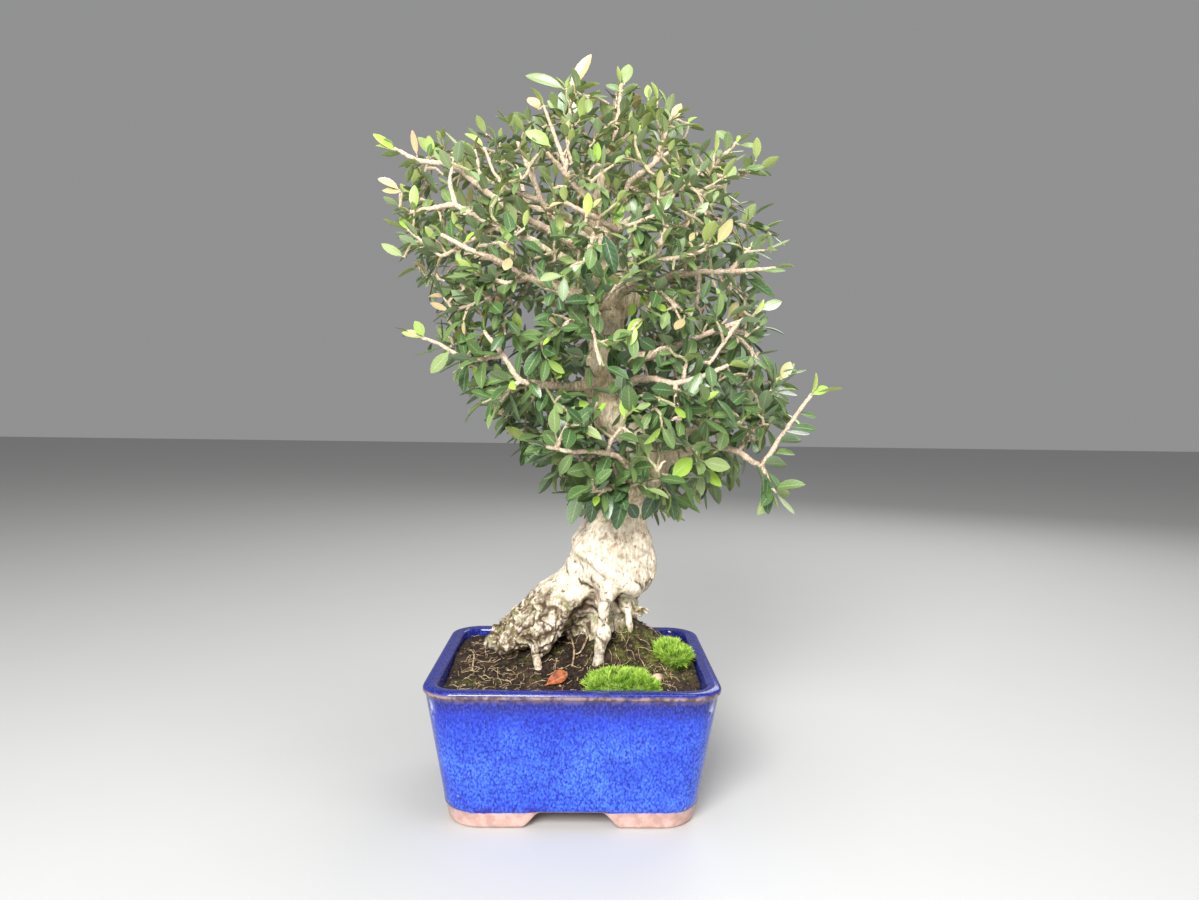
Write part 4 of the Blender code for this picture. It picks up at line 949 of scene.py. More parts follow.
def leafForm(fold, arch, twist):
    # one blade along X, a unit long and a unit wide, folded, arched and twisted
    stations, widths = leafShape["stations"], leafShape["widths"]
    steps = len(stations) - 1
    bm = bmesh.new()
    place = bm.verts.layers.float_vector.new("leafPlace")
    bmesh.ops.create_grid(bm, x_segments=steps, y_segments=2, size=0.5)
    for vert in bm.verts:
        index = round((vert.co.x + 0.5) * steps)
        across = round(vert.co.y * 2)
        along, width = stations[index], widths[index]
        rise = fold * abs(across) * width * 0.45 - arch * along * along
        vert.co = Vector((along, across * width, rise + twist * across * width * along))
        vert[place] = Vector((along, across, 0))
    for face in bm.faces:
        face.material_index = 1
    below = bmesh.ops.duplicate(bm, geom=list(bm.verts) + list(bm.edges) + list(bm.faces))["geom"]
    faces = [part for part in below if isinstance(part, bmesh.types.BMFace)]
    bmesh.ops.reverse_faces(bm, faces=faces)
    for face in faces:
        face.material_index = 2
    for vert in below:
        if isinstance(vert, bmesh.types.BMVert) and abs(vert[place].y) < 0.5 and vert[place].x < 1:
            vert.co.z -= leafShape["thick"]
    bmesh.ops.remove_doubles(bm, verts=bm.verts, dist=0.001)
    bmesh.ops.holes_fill(bm, edges=[edge for edge in bm.edges if edge.is_boundary])
    return meshFrom(bm, "leafForm")


def leafFinish(name, under):
    finish = Finish(name)
    spot = finish.place()
    tint = finish.mark("tint")
    blade = finish.mark("leafPlace", 1)
    along = finish.axis(blade, 0)
    across = abs(finish.axis(blade, 1))
    mottle = finish.grain(spot, 3.2, 3)
    if under:
        stops = ((0.0, (0.11, 0.17, 0.11)), (0.45, (0.21, 0.28, 0.14)), (0.78, (0.38, 0.46, 0.12)),
                 (0.9, (0.30, 0.36, 0.12)), (1.0, (0.42, 0.27, 0.15)))
    else:
        stops = ((0.0, (0.026, 0.072, 0.028)), (0.25, (0.058, 0.125, 0.034)), (0.48, (0.135, 0.215, 0.062)),
                 (0.7, (0.27, 0.34, 0.13)), (0.8, (0.32, 0.52, 0.045)), (0.9, (0.36, 0.39, 0.14)),
                 (1.0, (0.48, 0.31, 0.18)))
    color = finish.ramp(tint + (mottle - 0.5) * 0.12, stops)
    light = finish.mix(0.55, color, (0.48, 0.56, 0.30))
    ribs = (1 - across.rise(0.03, 0.14)) * (1 - along.rise(0.75, 1.0) * 0.6)
    veins = ((along * 46 - across * 9).wave() * 0.5 + 0.5).rise(0.86, 1.0) * 0.22 * (1 - across.rise(0.7, 0.95))
    edge = across.rise(0.9, 1.0) * 0.45
    color = finish.mix((ribs * 0.55 + veins + edge).clamped(), color, light)
    relief = across.rise(0.0, 0.2) * 0.6 - veins * 0.6 + mottle * 0.5
    rough = 0.62 if under else 0.24 + 0.16 * mottle
    return finish.dress(color=color, roughness=rough, normal=finish.bump(relief, 0.12, 0.5),
                        specular=0.3 if under else 0.55)


def twigFinish():
    finish = Finish("twigBark")
    spot = finish.place()
    young = finish.mark("tint")
    flow = finish.grain(spot, 1.1, 4, 0.6)
    patch = finish.grain(spot, 5, 3)
    color = finish.mix(flow.rise(0.35, 0.65), (0.42, 0.30, 0.20), (0.76, 0.62, 0.47))
    color = finish.mix(patch.rise(0.5, 0.66) * 0.6, color, (0.60, 0.44, 0.34))
    color = finish.mix(finish.grain(spot, 0.7, 2).rise(0.62, 0.72) * 0.6, color, (0.16, 0.10, 0.06))
    color = finish.mix((young * 0.8).clamped(), color, (0.20, 0.24, 0.075))
    return finish.dress(color=color, roughness=0.75, normal=finish.bump(flow, 0.2, 0.6), specular=0.3)


# Crown
crownShape = {
    "seed": 21, "twigs": 820, "tries": 6000, "near": 5.5, "far": 38, "depthHalf": 74, "depthMiddle": 6,
    "middleHeight": 262, "heightHalf": 136, "leafLength": (9.5, 15.5), "leafWidth": (0.36, 0.48),
    "pairStep": (5.0, 7.4), "center": (12, 0, 250), "inset": 11, "sink": 9,
}
# left and right edge of the foliage at rows of the photograph
crownRows = (
    (82, 560, 600), (100, 540, 645), (120, 512, 685), (150, 405, 742), (200, 390, 745), (250, 395, 758),
    (300, 432, 768), (335, 428, 765), (360, 442, 768), (390, 482, 795), (430, 508, 786), (450, 532, 750),
    (470, 552, 722), (490, 560, 700), (508, 578, 680),
)
# openings in the foliage that show the trunk, and stretches of twig that stay in sight
trunkViews = ((600, 293, 630, 328), (591, 349, 612, 387), (601, 394, 614, 419), (650, 450, 677, 474),
              (632, 490, 652, 518), (560, 522, 662, 700))
twigViews = (
    ((529, 163), (543, 227)), ((811, 395), (761, 466)), ((740, 452), (761, 466)), ((662, 272), (776, 268)),
    ((637, 377), (675, 383)), ((675, 383), (728, 366)), ((569, 451), (618, 457)), ((741, 323), (711, 363)),
    ((486, 333), (521, 380)), ((544, 106), (562, 149)), ((546, 153), (585, 196)), ((667, 153), (628, 182)),
    ((622, 424), (608, 450)), ((400, 151), (440, 166)), ((453, 158), (455, 200)), ((446, 238), (499, 262)),
    ((570, 206), (614, 229)), ((701, 275), (698, 305)), ((463, 176), (500, 205)), ((484, 148), (493, 172)),
    ((735, 145), (716, 165)), ((430, 208), (452, 206)), ((420, 336), (450, 350)), ((622, 86), (618, 112)),
)
# leaves in plain sight: base and tip in the photograph, width, and tint from dark over fresh to bronze
plainLeaves = (
    (396, 151, 373, 133, 4.6, 0.80), (397, 151, 376, 143, 4.8, 0.86), (417, 156, 413, 130, 3.4, 0.98),
    (428, 157, 431, 143, 3.6, 0.35), (400, 190, 378, 177, 4.2, 0.95), (402, 192, 382, 190, 3.8, 0.93),
    (404, 257, 381, 245, 5.6, 0.70), (423, 338, 402, 329, 4.4, 0.90), (424, 337, 415, 321, 5.0, 0.74),
    (450, 351, 430, 373, 6.6, 0.62), (494, 393, 465, 391, 4.2, 0.45), (503, 416, 488, 402, 5.4, 0.96),
    (527, 412, 492, 435, 5.0, 0.30), (541, 450, 524, 461, 5.6, 0.25), (586, 484, 565, 500, 5.4, 0.20),
    (600, 483, 587, 524, 6.8, 0.05), (628, 482, 614, 530, 8.6, 0.12), (628, 503, 638, 518, 7.0, 0.05),
    (662, 484, 641, 519, 7.8, 0.08), (664, 484, 678, 520, 6.6, 0.14), (698, 467, 702, 496, 5.0, 0.62),
    (699, 467, 722, 486, 6.6, 0.80), (697, 466, 704, 443, 6.0, 0.81), (671, 478, 693, 459, 9.0, 0.80),
    (766, 472, 768, 515, 6.8, 0.10), (767, 471, 783, 493, 4.6, 0.24), (791, 427, 817, 428, 4.6, 0.22),
    (812, 395, 829, 386, 4.8, 0.76), (781, 380, 791, 362, 5.6, 0.92), (760, 309, 782, 302, 5.2, 0.58),
    (745, 278, 776, 296, 7.4, 0.15), (762, 271, 786, 270, 3.0, 0.45), (745, 229, 770, 229, 3.4, 0.55),
    (739, 170, 765, 168, 3.8, 0.40), (739, 145, 760, 146, 4.4, 0.56), (731, 143, 718, 128, 5.2, 0.52),
    (672, 121, 681, 103, 5.4, 0.94), (675, 127, 694, 123, 3.2, 0.50), (624, 85, 629, 63, 6.4, 0.68),
    (624, 92, 641, 86, 3.8, 0.45), (622, 93, 607, 81, 4.4, 0.42), (569, 91, 591, 53, 6.4, 0.97),
    (566, 90, 527, 69, 5.2, 0.60), (539, 110, 530, 94, 6.6, 0.98), (551, 147, 529, 127, 8.4, 0.72),
    (617, 226, 617, 200, 7.6, 0.80), (587, 217, 589, 193, 4.6, 0.79), (598, 238, 584, 279, 8.4, 0.10),
    (603, 232, 616, 273, 7.6, 0.02), (616, 268, 614, 300, 7.4, 0.06), (578, 297, 602, 314, 6.6, 0.50),
    (660, 277, 625, 275, 6.4, 0.12), (574, 288, 561, 271, 4.6, 0.80), (556, 378, 556, 355, 6.4, 0.78),
    (560, 385, 565, 411, 6.4, 0.79), (592, 417, 580, 400, 4.8, 0.79), (592, 417, 606, 402, 4.6, 0.78),
    (624, 419, 626, 396, 5.8, 0.79), (629, 467, 652, 441, 8.6, 0.60), (700, 430, 720, 424, 5.0, 0.76),
    (487, 386, 473, 367, 5.2, 0.79), (470, 332, 463, 358, 6.6, 0.30), (452, 344, 438, 328, 5.8, 0.70),
    (668, 442, 646, 428, 6.8, 0.30), (690, 400, 700, 372, 6.0, 0.35), (760, 352, 778, 376, 5.6, 0.30),
    (728, 300, 712, 322, 7.0, 0.25), (650, 260, 640, 226, 6.4, 0.18), (524, 262, 500, 284, 6.8, 0.20),
    (560, 340, 536, 330, 6.6, 0.25), (640, 396, 668, 404, 6.6, 0.32), (600, 436, 574, 428, 6.2, 0.40),
)


def rowEdges(down):
    if down <= crownRows[0][0] or down >= crownRows[-1][0]:
        return None
    for (top, leftTop, rightTop), (low, leftLow, rightLow) in zip(crownRows, crownRows[1:]):
        if down <= low:
            share = (down - top) / (low - top)
            return leftTop + (leftLow - leftTop) * share, rightTop + (rightLow - rightTop) * share
    return None


def segmentGap(point, start, stop):
    run = (stop[0] - start[0], stop[1] - start[1])
    length = run[0] ** 2 + run[1] ** 2
    share = ((point[0] - start[0]) * run[0] + (point[1] - start[1]) * run[1]) / length
    share = max(0, min(1, share))
    return math.hypot(point[0] - start[0] - run[0] * share, point[1] - start[1] - run[1] * share)


def hidesView(base, tip, draw):
    # whether a blade would stand before the trunk or before a twig that stays in sight
    if base.y > 4:
        return False
    for share in (0.35, 0.7, 1):
        across, down = toPhoto(base.lerp(tip, share))
        for left, top, right, low in trunkViews:
            if left < across < right and top < down < low:
                return True
        for start, stop in twigViews:
            if segmentGap((across, down), start, stop) < 5 and draw.random() < 0.8:
                return True
    return False


class Branch:
    # twigs and leaves that go on from one limb
    def __init__(self, name, parts):
        self.name = name
        self.lines = []
        self.leaves = []
        limb = [Vector(point) for point in parts[0]]
        lean = (limb[-1] - limb[-2]).normalized()
        lead = [limb[-1] - lean * 3, limb[-1] + lean * 0.5] + [Vector(point) for point in parts[1]]
        self.addLine(lead, 1.9, 0.9, 0.0)
        for side in parts[2:]:
            self.addLine([Vector(point) for point in side], 1.25, 0.7, 0.0)

    def addLine(self, points, thick, thin, young, step=1.6):
        draw = random.Random(repr((self.name, len(self.lines))))
        smooth = smoothLine(points, step, 0.6)
        last = len(smooth) - 1
        spacing = draw.uniform(5, 8)
        line, run = [], 0.0
        for index, point in enumerate(smooth):
            if index:
                run += (point - smooth[index - 1]).length
            knob = math.exp(-((run % spacing - spacing / 2) / 1.0) ** 2) * 0.22
            radius = (thick + (thin - thick) * index / last) * (1 + knob + draw.uniform(-0.05, 0.05))
            stray = Vector([draw.uniform(-1, 1) for _ in range(3)]) * 0.18 * min(1, index)
            line.append((point + stray, radius))
        self.lines.append({"line": line, "young": young, "spacing": spacing})
        return line


def bladePlace(base, heading, face, length, width):
    side = face.cross(heading).normalized()
    face = heading.cross(side).normalized()
    turn = Matrix((heading, side, face)).transposed().to_4x4()
    return Matrix.Translation(base) @ turn @ Matrix.Diagonal((length, width, length, 1))


def onView(point, reach):
    # whether a place lies over a stretch of twig that stays in sight
    across, down = toPhoto(point)
    return any(segmentGap((across, down), start, stop) < reach for start, stop in twigViews)


def growSprays(branches):
    # short leafy twigs before the long bare ones, on the side of the crown that is seen
    draw = random.Random(17)
    for branch in branches:
        for part in list(branch.lines):
            line, run = part["line"], draw.uniform(0, 6)
            for (point, _), (after, _) in zip(line, line[1:]):
                run += (after - point).length
                if run < 7 or point.y > 12:
                    continue
                run = draw.uniform(-1.5, 1.5)
                aside = (after - point).orthogonal().normalized()
                aside.rotate(Quaternion((after - point).normalized(), draw.uniform(0, 2 * math.pi)))
                lean = aside * 0.8 + Vector((0, -0.75, 0.25)) + (after - point).normalized() * 0.5
                stop = point + lean.normalized() * draw.uniform(6, 12)
                if onView(point, 7) or onView(stop, 7) or rowEdges(toPhoto(stop)[1]) is None:
                    continue
                branch.addLine([point, point.lerp(stop, 0.5) + upward * 0.5, stop], 0.75, 0.45, draw.uniform(0, 0.9), 2.2)


def growCrown(branches, trunkTree):
    # short twigs that reach into the empty places inside the crown's outline
    draw = random.Random(crownShape["seed"])
    nodes = [(point, branch) for branch in branches for part in branch.lines
             for point, _ in part["line"][2::2]]
    grown = 0

    def freshTree():
        tree = KDTree(len(nodes))
        for index, (point, _) in enumerate(nodes):
            tree.insert(point, index)
        tree.balance()
        return tree

    tree = freshTree()
    for attempt in range(crownShape["tries"]):
        if grown >= crownShape["twigs"]:
            break
        down = draw.uniform(crownRows[0][0], crownRows[-1][0])
        left, right = rowEdges(down) or (0, 0)
        left, right, down = left + crownShape["inset"], right - crownShape["inset"], down + crownShape["sink"]
        if right - left < 2:
            continue
        sideways = draw.uniform(-1, 1)
        if draw.random() > (right - left) / 380:
            continue
        across = (left + right) / 2 + (right - left) / 2 * sideways * 0.97
        height = fromPhoto(across, down, 0).z
        dome = 1 - ((height - crownShape["middleHeight"]) / crownShape["heightHalf"]) ** 2
        depth = math.sqrt(max(0, dome)) * math.sqrt(1 - sideways * sideways * 0.9) * crownShape["depthHalf"]
        share = math.sqrt(draw.random()) * (1 if draw.random() < 0.5 else -1)
        target = fromPhoto(across, down, crownShape["depthMiddle"] + depth * share)
        spot, index, gap = tree.find(target)
        if gap < crownShape["near"] or gap > crownShape["far"]:
            continue
        start, branch = nodes[index]
        reach = min(gap, draw.uniform(16, 30))
        run = (target - start).normalized()
        if trunkTree.ray_cast(start + run * 3, run, reach)[0]:
            continue
        stop = start + run * reach
        bow = upward * reach * draw.uniform(0.02, 0.12) + Vector([draw.uniform(-1, 1) for _ in range(3)]) * 1.2
        line = branch.addLine([start, start.lerp(stop, 0.5) + bow, stop], 0.85, 0.5, draw.uniform(0, 0.9), 2.2)
        nodes += [(point, branch) for point, _ in line[2::2]]
        grown += 1
        if grown % 30 == 0:
            tree = freshTree()
    print("grown twigs", grown, "after", attempt + 1, "tries")
    return nodes


def leafOut(branch, part, draw, trunkTree):
    # opposite pairs from the tip back, each pair a quarter turn from the last
    line = part["line"]
    lengths = [(after[0] - before[0]).length for before, after in zip(line, line[1:])]
    whole = sum(lengths)
    bare = whole * (0.18 if whole < 40 else 0.3)
    turn = draw.uniform(0, math.pi)
    place, pair = whole, 0
    while place > bare:
        rest, index = place, 0
        while index < len(lengths) - 1 and rest > lengths[index]:
            rest -= lengths[index]
            index += 1
        start, radius = line[index]
        run = (line[index + 1][0] - start).normalized()
        base = start + run * min(rest, lengths[index])
        aside = run.orthogonal().normalized()
        aside.rotate(Quaternion(run, turn))
        outward = (base - Vector(crownShape["center"])).normalized()
        spread = math.radians(draw.uniform(28, 42) if pair == 0 else draw.uniform(45, 68))
        for sign in (1, -1):
            heading = run * math.cos(spread) + aside * sign * math.sin(spread)
            heading = (heading + outward * 0.22 + upward * draw.uniform(-0.12, 0.2)).normalized()
            face = upward * 0.75 + outward * 0.55 + run * 0.3
            face += Vector([draw.uniform(-1, 1) for _ in range(3)]) * 0.34
            length = draw.uniform(*crownShape["leafLength"]) * (1 - 0.16 * max(0, min(1, (base.z - 240) / 60)))
            length *= (0.72 if pair == 0 and draw.random() < 0.45 else 1)
            if base.z < 215:
                length *= 1.14
            width = length * draw.uniform(*crownShape["leafWidth"])
            tip = base + heading * length
            away = min(1, (base - Vector(crownShape["center"])).length / 120)
            tint = draw.uniform(0.0, 0.34) + 0.16 * max(0, min(1, (base.z - 215) / 110)) + 0.2 * away * away
            if pair == 0:
                tint += draw.uniform(0.0, 0.26)
                if draw.random() < 0.1:
                    tint = draw.uniform(0.76, 0.82)
                elif draw.random() < 0.1 and base.z > 230:
                    tint = draw.uniform(0.9, 1.0)
            near = trunkTree.find_nearest(base.lerp(tip, 0.6), 3.0)
            if draw.random() < 0.04 or near[0] or hidesView(base, tip, draw):
                continue
            branch.leaves.append((base + (heading - run) * 0.2, heading, face, length, width, tint, draw.randrange(5)))
        turn += math.pi / 2 + draw.uniform(-0.25, 0.25)
        place -= draw.uniform(*crownShape["pairStep"])
        pair += 1


def addPlainLeaves(nodes):
    draw = random.Random(8)
    for baseX, baseY, tipX, tipY, width, tint in plainLeaves:
        best = None
        for point, branch in nodes:
            across, down = toPhoto(point)
            gap = math.hypot(across - baseX, down - baseY) + max(0, point.y + 20) * 0.12
            if best is None or gap < best[0]:
                best = (gap, point, branch)
        _, point, branch = best
        base = fromPhoto(baseX, baseY, point.y - 1)
        tip = fromPhoto(tipX, tipY, point.y - 1 + draw.uniform(-4, 2))
        heading = tip - base
        if (base - point).length > 1.2:
            branch.addLine([point, point.lerp(base, 0.5) + upward * 0.4, base], 0.75, 0.45, 0.6, 2)
        face = Vector((draw.uniform(-0.3, 0.3), -0.75, draw.uniform(0.25, 0.8)))
        branch.leaves.append((base, heading.normalized(), face, heading.length, width, tint, draw.randrange(5)))


def makeBranches(trunkTree):
    branches = [Branch(name, parts) for name, parts in branchLines.items()]
    growSprays(branches)
    nodes = growCrown(branches, trunkTree)
    forms = [leafForm(*form) for form in leafShape["forms"]]
    for branch in branches:
        draw = random.Random("leaves of " + branch.name)
        for part in branch.lines:
            leafOut(branch, part, draw, trunkTree)
    addPlainLeaves(nodes)
    finishes = [twigFinish(), leafFinish("oliveLeafTop", False), leafFinish("oliveLeafUnder", True)]
    total = 0
    for branch in branches:
        bm = bmesh.new()
        bm.verts.layers.float_vector.new("leafPlace")
        tintLayer = bm.verts.layers.float.new("tint")
        for part in branch.lines:
            thick = part["line"][0][1] > 1.2
            before = len(bm.verts)
            bm.from_mesh(tubeMesh([part["line"]], 2 if thick else 1))
            bm.verts.ensure_lookup_table()
            for vert in bm.verts[before:]:
                vert[tintLayer] = part["young"]
        for base, heading, face, length, width, tint, form in branch.leaves:
            before = len(bm.verts)
            bm.from_mesh(forms[form])
            bm.verts.ensure_lookup_table()
            fresh = bm.verts[before:]
            bmesh.ops.transform(bm, matrix=bladePlace(base, heading, face, length, width), verts=fresh)
            for vert in fresh:
                vert[tintLayer] = tint
        total += len(branch.leaves)
        node = "branch_" + branch.name
        finishPiece("leafy_" + branch.name, meshFrom(bm), finishes, (node,), 55)
    print("leaves", total)


# Moss, and what lies and stands on the soil
mossShape = {
    "cushions": (
        ("moss_cushion_front", "moss_front", (24, -42), (21, 11, 10), 0, 330),
        ("moss_cushion_right", "moss_right", (52, -6), (10.5, 17, 7.5), 22, 230),
    ),
    "spike": (2.4, 4.4), "spikeRadius": 0.45, "tuft": 7,
}


def mossFinish():
    finish = Finish("mossGreen")
    spot = finish.place()
    tip = finish.mark("tip")
    tone = finish.grain(spot, 4, 3)
    low = finish.mix(tone.rise(0.4, 0.6), (0.020, 0.055, 0.004), (0.060, 0.11, 0.008))
    high = finish.mix(tone.rise(0.38, 0.62), (0.26, 0.50, 0.03), (0.55, 0.78, 0.12))
    color = finish.mix(tip.clamped(), low, high)
    return finish.dress(color=color, roughness=0.7, specular=0.3,
                        normal=finish.bump(finish.grain(spot, 0.5, 2), 0.1, 0.4))


def makeMoss():
    finish = mossFinish()
    for name, node, middle, size, turn, tufts in mossShape["cushions"]:
        draw = random.Random(name)
        bm = bmesh.new()
        tipLayer = bm.verts.layers.float.new("tip")
        bmesh.ops.create_icosphere(bm, subdivisions=4, radius=1)
        place = Matrix.Translation((*middle, soilHeight(*middle))) @ Matrix.Rotation(math.radians(turn), 4, "Z")
        place = place @ Matrix.Diagonal((*size, 1))
        for vert in bm.verts:
            vert.co *= 0.86 + 0.14 * noise.noise(vert.co * 2.5)
            vert[tipLayer] = 0.1
        bmesh.ops.transform(bm, matrix=place, verts=bm.verts)
        for _ in range(tufts):
            angle, rise = draw.uniform(0, 2 * math.pi), draw.uniform(-0.05, 1)
            flat = math.sqrt(1 - rise * rise)
            spot = Vector((math.cos(angle) * flat, math.sin(angle) * flat, rise))
            foot = place @ (spot * (0.8 + 0.14 * noise.noise(spot * 2.5)))
            out = Vector((spot.x / size[0], spot.y / size[1], spot.z / size[2])).normalized()
            out.rotate(Quaternion(upward, math.radians(turn)))
            tone = draw.uniform(-0.15, 0.15)
            for _ in range(mossShape["tuft"]):
                lean = out + upward * 0.45 + Vector([draw.uniform(-0.75, 0.75) for _ in range(3)])
                lean.normalize()
                length = draw.uniform(*mossShape["spike"])
                radius = mossShape["spikeRadius"] * draw.uniform(0.7, 1.1)
                stand = Matrix.Translation(foot + lean * length * 0.5)
                stand = stand @ upward.rotation_difference(lean).to_matrix().to_4x4()
                cone = bmesh.ops.create_cone(bm, cap_ends=True, segments=3, radius1=radius, radius2=0.05,
                                             depth=length, matrix=stand)["verts"]
                for vert in cone:
                    vert[tipLayer] = 0.12 + 0.75 * (vert.co - foot).dot(lean) / length + tone
        finishPiece(name, meshFrom(bm), [finish], (node,), 50)


def strawFinish():
    finish = Finish("paleFiber")
    spot = finish.place()
    tone = finish.grain(spot, 2.5, 3)
    color = finish.mix(tone.rise(0.38, 0.62), (0.24, 0.15, 0.07), (0.60, 0.46, 0.28))
    return finish.dress(color=color, roughness=0.8, normal=finish.bump(tone, 0.05, 0.4), specular=0.3)


rootLoops = (
    ((574, 648), (576, 636), (583, 630), (590, 638)), ((590, 655), (587, 664), (580, 669), (573, 668)),
    ((596, 650), (600, 658), (604, 666)), ((607, 636), (613, 648), (619, 658)), ((521, 640), (518, 652), (519, 660)),
    ((470, 652), (474, 662), (472, 672)), ((571, 676), (574, 668), (570, 660), (577, 657)),
    ((534, 664), (548, 660), (562, 660), (570, 655)), ((625, 640), (629, 632), (634, 629)),
    ((488, 640), (490, 633), (487, 628)), ((553, 640), (556, 650), (552, 660)),
)


def makeLitter():
    draw = random.Random(soilShape["seed"])
    halfX, halfY = insideHalf(soilShape["edge"])
    lines = []
    while len(lines) < soilShape["fibers"]:
        x, y = draw.uniform(-halfX + 3, halfX - 3), draw.uniform(-halfY + 3, halfY - 3)
        angle, length = draw.uniform(0, 2 * math.pi), draw.uniform(3, 11)
        bend, points = draw.uniform(-0.5, 0.5), []
        for step in range(5):
            x += math.cos(angle) * length / 4
            y += math.sin(angle) * length / 4
            angle += bend
            lift = draw.uniform(0.0, 1.3)
            points.append(Vector((x, y, soilTop(x, y) + lift)))
        if max(abs(points[-1].x) - halfX, abs(points[-1].y) - halfY) > -1.5:
            continue
        radius = draw.uniform(0.08, 0.17)
        lines.append([(point, radius) for point in points])
    for loop in rootLoops:
        points = []
        for across, down in loop:
            ray = fromPhoto(across, down, 0) - photoPlace
            share = (soilShape["edge"] + 2 - photoPlace.z) / ray.z
            spot = photoPlace + ray * share
            points.append(Vector((spot.x, spot.y, soilTop(spot.x, spot.y) + draw.uniform(0.6, 3.2))))
        points[0].z -= 1.5
        points[-1].z -= 1.5
        lines.append([(point, 0.42) for point in smoothLine(points, 1.5)])
    finishPiece("fine_roots", tubeMesh(lines, 0), [strawFinish()])
    bm = bmesh.new()
    for _ in range(soilShape["stones"]):
        x, y = draw.uniform(-halfX + 2, halfX - 2), draw.uniform(-halfY + 2, halfY - 2)
        size = draw.uniform(0.4, 1.15)
        tilt = Matrix.Rotation(draw.uniform(0, 3), 4, Vector((draw.random(), draw.random(), 1)))
        place = Matrix.Translation((x, y, soilTop(x, y) + size * 0.2)) @ tilt
        place = place @ Matrix.Diagonal((size, size * draw.uniform(0.6, 1), size * draw.uniform(0.5, 0.9), 1))
        bmesh.ops.create_icosphere(bm, subdivisions=1, radius=1, matrix=place)
    finish = Finish("soilCrumb")
    spot = finish.place()
    color = finish.ramp(finish.cells(spot, 2.4, output=1), ((0.0, (0.018, 0.012, 0.008)), (0.45, (0.06, 0.038, 0.022)),
                                                          (0.75, (0.19, 0.12, 0.07)), (1.0, (0.42, 0.31, 0.2))))
    surface = finish.dress(color=color, roughness=0.9, normal=finish.bump(finish.grain(spot, 0.6, 2), 0.2, 0.6))
    finishPiece("soil_crumbs", meshFrom(bm), [surface], sharp=20)


def stoneFinish(name, dark, light, size):
    finish = Finish(name)
    spot = finish.place()
    tone = finish.grain(spot, size, 4, 0.6)
    color = finish.mix(tone.rise(0.36, 0.64), dark, light)
    color = finish.mix(finish.grain(spot, size / 5, 2).rise(0.6, 0.7) * 0.5, color, tuple(part * 0.35 for part in dark))
    return finish.dress(color=color, roughness=0.8, normal=finish.bump(tone, 0.25, 0.6))


def makeSmallThings():
    draw = random.Random(12)
    bm = bmesh.new()
    bmesh.ops.create_icosphere(bm, subdivisions=4, radius=1)
    for vert in bm.verts:
        vert.co *= 1 + 0.16 * noise.noise(vert.co * 1.7) + 0.05 * noise.noise(vert.co * 6)
    x, y = 43, -28
    place = Matrix.Translation((x, y, soilHeight(x, y) + 0.8)) @ Matrix.Diagonal((3.1, 2.6, 2.2, 1))
    bmesh.ops.transform(bm, matrix=place, verts=bm.verts)
    finishPiece("pink_pebble", meshFrom(bm), [stoneFinish("pinkStone", (0.36, 0.2, 0.14), (0.72, 0.5, 0.38), 2.2)],
                ("pebble",), 80)

    x, y = -18, -19
    foot = soilHeight(x, y) - 2
    points = smoothLine([Vector((x, y, foot)), Vector((x - 0.7, y, foot + 4.5)), Vector((x - 1.5, y, foot + 8.5))], 0.6)
    line = [(point, 2.2 - 0.4 * index / len(points) + draw.uniform(-0.12, 0.12)) for index, point in enumerate(points)]
    bm = bmesh.new()
    bm.from_mesh(tubeMesh([line], 6))
    for vert in bm.verts:
        vert.co += vert.normal * noise.noise(vert.co / 1.2) * 0.25
    finishPiece("cut_root_peg", meshFrom(bm), [stoneFinish("cutWood", (0.42, 0.30, 0.2), (0.78, 0.66, 0.5), 1.6)],
                ("root_stub",), 50)

    x, y = -14, -39
    base = Vector((x, y, soilHeight(x, y) + 0.3))
    blade = bmesh.new()
    blade.from_mesh(leafForm(0.5, -0.12, 0.5))
    place = bladePlace(base, Vector((0.85, 0.5, 0.2)).normalized(), Vector((-0.2, -0.45, 1)).normalized(), 13.5, 5.6)
    bmesh.ops.transform(blade, matrix=place, verts=blade.verts)
    bmesh.ops.subdivide_edges(blade, edges=blade.edges, cuts=1, use_grid_fill=True)
    finish = Finish("dryLeaf")
    spot = finish.place()
    rib = 1 - abs(finish.axis(finish.mark("leafPlace", 1), 1)).rise(0.04, 0.2)
    color = finish.mix(finish.grain(spot, 2.4, 4).rise(0.35, 0.62), (0.16, 0.030, 0.010), (0.42, 0.115, 0.035))
    color = finish.mix(rib * 0.5, color, (0.50, 0.22, 0.09))
    surface = finish.dress(color=color, roughness=0.55, normal=finish.bump(finish.grain(spot, 1, 3), 0.2, 0.6))
    finishPiece("dry_fallen_leaf", meshFrom(blade), [surface] * 3, ("fallen_leaf",), 55)


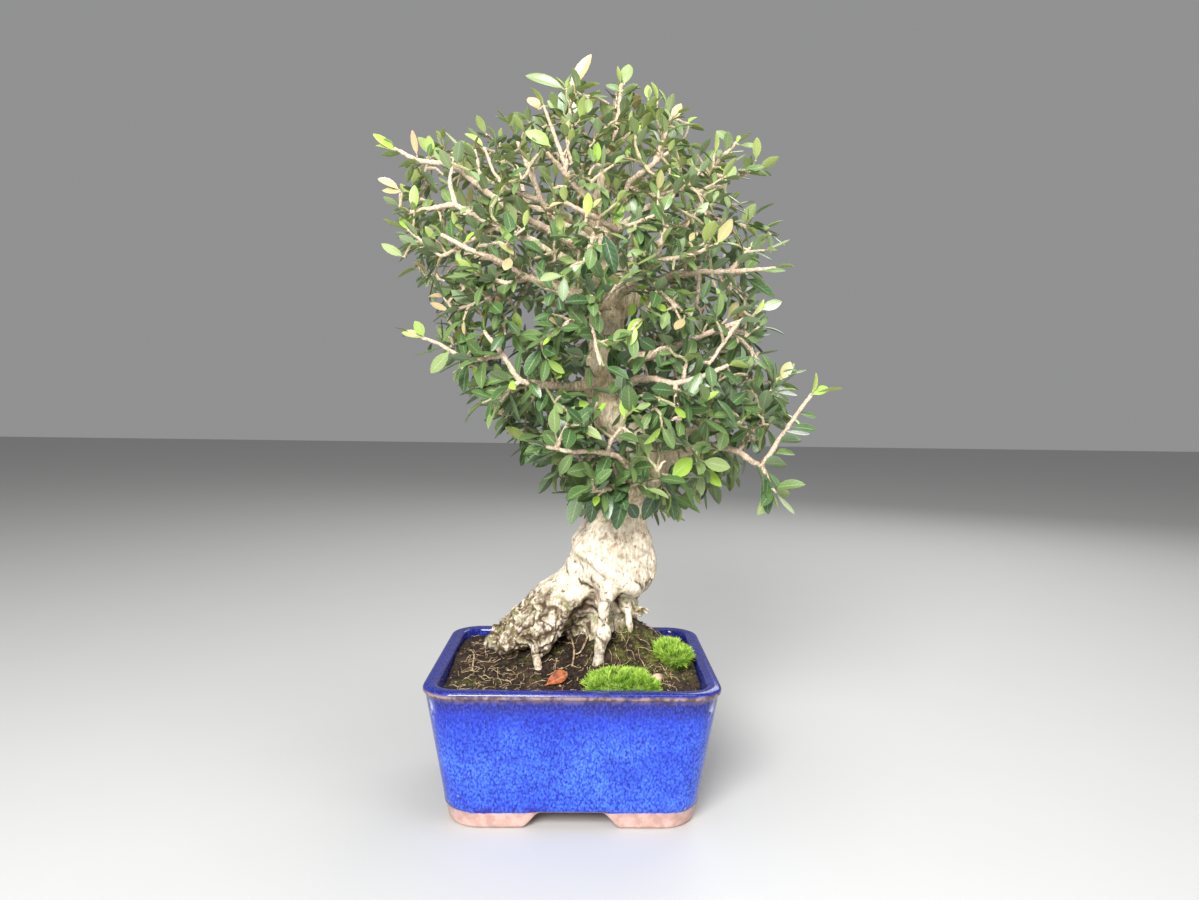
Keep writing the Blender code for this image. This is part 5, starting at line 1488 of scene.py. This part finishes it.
def dressScreens():
    finish = Finish("screenPlastic")
    spot = finish.place()
    tone = finish.grain(spot, 1.5, 3)
    color = finish.mix(tone.rise(0.35, 0.65), (0.010, 0.010, 0.011), (0.035, 0.033, 0.03))
    surface = finish.dress(color=color, roughness=0.5 + 0.2 * tone, normal=finish.bump(tone, 0.05, 0.4))
    for name in ("drain_screen_left", "drain_screen_right"):
        for holder in bpy.data.objects:
            if holder.name == name and holder.type == "MESH":
                for slot in holder.material_slots:
                    slot.material = surface


# Stage
studio = {
    "floor": (0.50, 0.50, 0.49), "world": (0.84, 0.84, 0.85), "worldStrength": 0.34,
    "lights": (
        ("key", (-0.28, -0.95, 0.72), 0.5, 24), ("fill", (0.95, -0.75, 0.55), 0.8, 5),
        ("top", (0.05, -0.15, 1.3), 0.7, 7), ("back", (0.5, 0.9, 0.8), 0.7, 5),
    ),
    "aim": (0, 0, 0.18),
}


def makeStage():
    bm = bmesh.new()
    bmesh.ops.create_grid(bm, x_segments=1, y_segments=1, size=4)
    floor = holderFor(meshFrom(bm, "floor"), "floor")
    finish = Finish("paleFloor")
    tone = finish.grain(finish.place(), 60, 2)
    low = tuple(part * 0.97 for part in studio["floor"])
    floor.data.materials.append(finish.dress(color=finish.mix(tone, low, studio["floor"]), roughness=0.6))
    for name, place, size, power in studio["lights"]:
        light = bpy.data.lights.new(name, "AREA")
        light.shape = "SQUARE"
        light.size = size
        light.energy = power
        holder = bpy.data.objects.new(name, light)
        bpy.context.scene.collection.objects.link(holder)
        aim = Vector(studio["aim"]) - Vector(place)
        holder.matrix_world = Matrix.Translation(place) @ aim.to_track_quat("-Z", "Y").to_matrix().to_4x4()
    world = bpy.data.worlds.new("studio")
    world.use_nodes = True
    sky = world.node_tree.nodes["Background"]
    sky.inputs[0].default_value = (*studio["world"], 1)
    sky.inputs[1].default_value = studio["worldStrength"]
    bpy.context.scene.world = world
    bpy.context.scene.view_settings.view_transform = "Standard"


makeCamera()
makeStage()
print("stage and camera are in place")
makePot()
makeSoil()
print("pot and soil are in place")
trunkTree = makeTrunk()
print("trunk is in place")
makeBranches(trunkTree)
print("branches are in place")
makeMoss()
makeLitter()
makeSmallThings()
dressScreens()
print("moss, litter and small things are in place")
